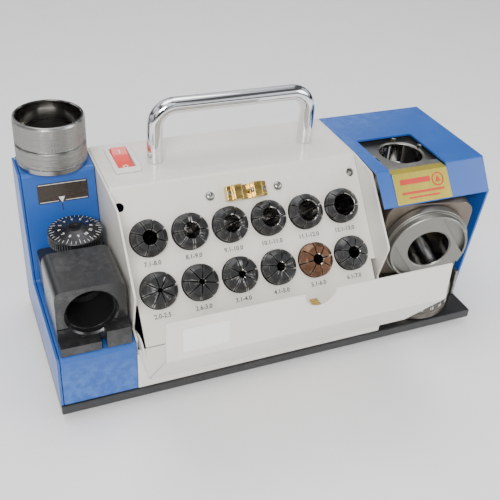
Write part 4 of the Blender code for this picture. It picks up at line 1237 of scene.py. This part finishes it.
def make_turret():
    place = (*TURRET_AXIS, 0.0)
    centre = Vector(place) + TURRET_TURN_Z @ DISC_CENTRE
    low = cad("turret_drum")[0].z
    drum = [(0.0, low), (TURRET_RADIUS - 0.0006, low), (TURRET_RADIUS, low + 0.0006),
            (TURRET_RADIUS, low + 0.0040),
            (TURRET_RADIUS - 0.0006, low + 0.0044), (TURRET_RADIUS - 0.0006, low + 0.0052),
            (TURRET_RADIUS, low + 0.0056), (TURRET_RADIUS, DRUM_TOP - 0.0010),
            (TURRET_RADIUS - 0.0010, DRUM_TOP),
            (0.0, DRUM_TOP)]
    piece("turret_drum_turned", turned(drum, 144), "turret", [bronze_plate(), drum_steel()],
          place,
          TURRET_TURN_Z, stands_for=["turret_drum"], bevel=0,
          paint=lambda c, n: 1 if abs(n.z) < 0.5 and c.z < DRUM_TOP - 0.0012 else 0)
    ticks, words = [], []
    for i in range(-9, 10):
        a = math.radians(-90 + 5.0 * i)
        length = 0.0048 if i % 3 == 0 else 0.0028
        tick = block(-0.00006, 0.00006, -0.00011, 0.00011, -length / 2, length / 2)
        reach = TURRET_RADIUS + 0.00002
        ticks.append(placed(tick, (reach * math.cos(a), reach * math.sin(a), DRUM_TOP - 0.0013 - length / 2),
                            Matrix.Rotation(a, 3, "Z")))
        if i % 3 == 0:
            turn = TURRET_TURN_Z @ Matrix.Rotation(a + math.pi / 2, 3, "Z") @ FACING_FRONT
            spot = Vector(place) + TURRET_TURN_Z @ Vector((reach * math.cos(a), reach * math.sin(a), 0.0))
            words.append((str(abs(i) * 5), 0.0030, (spot.x, spot.y, DRUM_TOP - 0.0080), turn))
    piece("turret_scale_ticks", gathered(ticks), "turret", white_print(), place,
          TURRET_TURN_Z,
          bevel=0)
    lettering("turret_scale_numbers", words, "turret", white_print())

    rim = [(PORT_RADIUS, -DISC_THICKNESS), (TURRET_RADIUS - 0.0005, -DISC_THICKNESS),
           (TURRET_RADIUS, -DISC_THICKNESS + 0.0005), (TURRET_RADIUS, -0.0048),
           (TURRET_RADIUS - 0.0003, -0.0045),
           (TURRET_RADIUS - 0.0014, -0.0045), (TURRET_RADIUS - 0.0017, -0.0042),
           (TURRET_RADIUS - 0.0017, -0.0005),
           (TURRET_RADIUS - 0.0022, 0.0), (PORT_RADIUS + 0.0006, 0.0), (PORT_RADIUS, -0.0006)]
    band = 0.0165
    far = TURRET_RADIUS + 0.002
    sectors = [placed(segment_outline(band, TURRET_RADIUS - 0.0034), (0, 0, -0.0030),
                      Matrix.Rotation(a, 3, "Z"))
               for a in (math.radians(35), math.radians(215))]
    notch = placed(block(TURRET_RADIUS - 0.0040, far, -0.0030, 0.0030, -0.0060, 0.001), (0, 0, 0),
                   Matrix.Rotation(math.radians(-35), 3, "Z"))
    piece("socket_disc_machined", turned(rim, 144), "turret", [aluminium(), polished_steel()],
          centre,
          DISC_TURN, cuts=sectors + [notch], stands_for=["socket_disc"], bevel=0.0003,
          paint=lambda c, n: 1 if c.xy.length < PORT_RADIUS + 0.0002 and abs(n.z) < 0.5 else 0)

    half = PLATE_SIDE / 2
    plate_top = -DISC_THICKNESS - GAP
    plate_low = plate_top - PLATE_THICKNESS
    outline = filleted([(-half, -half), (half, -half), (half, half), (-half, half)],
                       [0.004, 0.004, 0.009, 0.009], 10)
    bore = rod(PORT_RADIUS, plate_low - 0.002, plate_top + 0.002, 96)
    piece("socket_plate_milled", along_z(outline, plate_low, plate_top), "turret",
          bronze_plate(), centre,
          DISC_TURN, cuts=[bore], stands_for=["socket_plate"], bevel=0.0006)
    # one sleeve hides the joints between the disc, the plate and the web
    liner = [(PORT_RADIUS - 0.0002, -0.0290), (PORT_RADIUS, -0.0290), (PORT_RADIUS, -0.0008),
             (PORT_RADIUS - 0.0002, -0.0008)]
    piece("socket_bore_liner", turned(liner, 144), "turret", polished_steel(), centre, DISC_TURN,
          bevel=0)

    web_top = plate_low - GAP
    web = along_z(filleted([(-0.018, -0.0310), (0.018, -0.0310), (0.018, 0.0260), (-0.018, 0.0260)],
                           [0.001, 0.001, 0.006, 0.006]), web_top - 0.005, web_top)
    inverse = DISC_TURN.inverted()
    foot = placed(placed(block(-0.018, 0.018, -0.0130, 0.0090, DRUM_TOP + GAP, 0.0318), (0, 0, 0),
                         TURRET_TURN_Z),
                  Vector(place) - centre)
    bmesh.ops.transform(foot, matrix=inverse.to_4x4(), verts=foot.verts)
    piece("turret_bracket_milled", web, "turret", aluminium("x"), centre, DISC_TURN,
          joins=[foot],
          cuts=[rod(PORT_RADIUS, -0.040, 0.0, 96)], stands_for=["turret_bracket"], bevel=0.0005)


def segment_outline(band, radius):
    """A shallow cutter for one of the disc's recessed sides: a circular segment beyond a straight chord."""
    start = math.acos(band / radius)
    points = []
    steps = 20
    for i in range(steps + 1):
        a = -start + 2 * start * i / steps
        points.append((radius * math.cos(a), radius * math.sin(a)))
    return along_z(points, 0.0, 0.010)


def bronze_plate():
    return finish("milled_plate", (0.22, 0.185, 0.155), 0.40, 0.85, tint=0.08, bump=0.3,
                  brushed=(700.0, 25.0, 700.0), edge_wear_and_highlight=0.5, edge_wear_and_highlight_colour=(0.6, 0.57, 0.52))


# ---------------------------------------------------------------- motor, wheel, rear
def make_motor():
    looks = {"motor_can": steel(), "motor_rear_cap": aluminium(), "motor_front_cap": aluminium(),
             "rotor_shaft": steel(), "wheel_nut": steel(), "grinding_wheel": abrasive(),
             "motor_cradle": aluminium("x"), "dial_spindle": steel()}
    for node, look in looks.items():
        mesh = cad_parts[node].data
        mesh.materials.clear()
        mesh.materials.append(look)


def make_rear():
    low, high = cad("rear_cover")
    outline = filleted([(low.x, low.z), (high.x, low.z), (high.x, high.z), (low.x, high.z)], 0.003)
    cuts = [placed(rod(0.0062, -0.004, 0.004), (GLAND.x, BACK + 0.001, GLAND.y), FACING_BACK)]
    for i in range(7):
        z = 0.050 + i * 0.0058
        slot = filleted([(-0.0160, -0.0011), (0.0160, -0.0011), (0.0160, 0.0011), (-0.0160, 0.0011)], 0.00109)
        for x in (-0.020, 0.020):
            cuts.append(placed(along_z(slot, -0.004, 0.004), (x, BACK + 0.001, z), FACING_BACK))
    piece("rear_cover_plate", along_y(outline, low.y, high.y), "cabinet", blue_paint(),
          cuts=cuts,
          stands_for=["rear_cover"], bevel=0.0003)
    profile = [(0.0, 0.0), (0.0029, 0.0), (0.0028, 0.0006), (0.0021, 0.0014), (0.0010, 0.0017), (0.0, 0.0017)]
    inset = 0.006
    for i, x in enumerate((low.x + inset, (low.x + high.x) / 2, high.x - inset)):
        for k, z in enumerate((low.z + inset, high.z - inset)):
            cross = [block(-0.0016, 0.0016, -0.00028, 0.00028, 0.0009, 0.003),
                     block(-0.00028, 0.00028, -0.0016, 0.0016, 0.0009, 0.003)]
            piece(f"rear_screw_{i + 1}_{k + 1}", turned(profile, 40), "cabinet", steel(),
                  (x, high.y, z),
                  FACING_BACK, cuts=cross, bevel=0)
    end = cad("cable_gland")[1].y - BACK
    body = [(0.0036, -0.006), (0.0058, -0.006), (0.0058, 0.0021), (0.0078, 0.0021), (0.0078, 0.0086),
            (0.0076, 0.0090), (0.0074, 0.0094), (0.0066, 0.0108)]
    body += [(0.0064, 0.0114), (0.0063, 0.0122), (0.0060, end - 0.0028), (0.0056, end - 0.0006),
             (0.0052, end),
             (0.0038, end), (0.0036, end - 0.0003)]
    nut = along_z(ring(0.0090, 6), 0.0021, 0.0085)
    piece("cable_gland_moulded", turned(body), "cabinet", black_plastic(),
          (GLAND.x, BACK, GLAND.y),
          FACING_BACK, stands_for=["cable_gland"], bevel=0)
    piece("cable_gland_nut", nut, "cabinet", black_plastic(), (GLAND.x, BACK, GLAND.y),
          FACING_BACK,
          cuts=[rod(0.0079, 0.0, 0.010)], bevel=0.0003, steps=2)


make_camera()
make_studio()
make_base()
make_left_housing()
make_setting_unit()
make_dial()
make_holder()
make_panel()
make_cheeks()
make_cover()
make_catch()
make_collets()
make_handle()
make_switch()
make_hood()
make_head_frame()
make_turret()
make_motor()
make_rear()

bpy.context.view_layer.update()
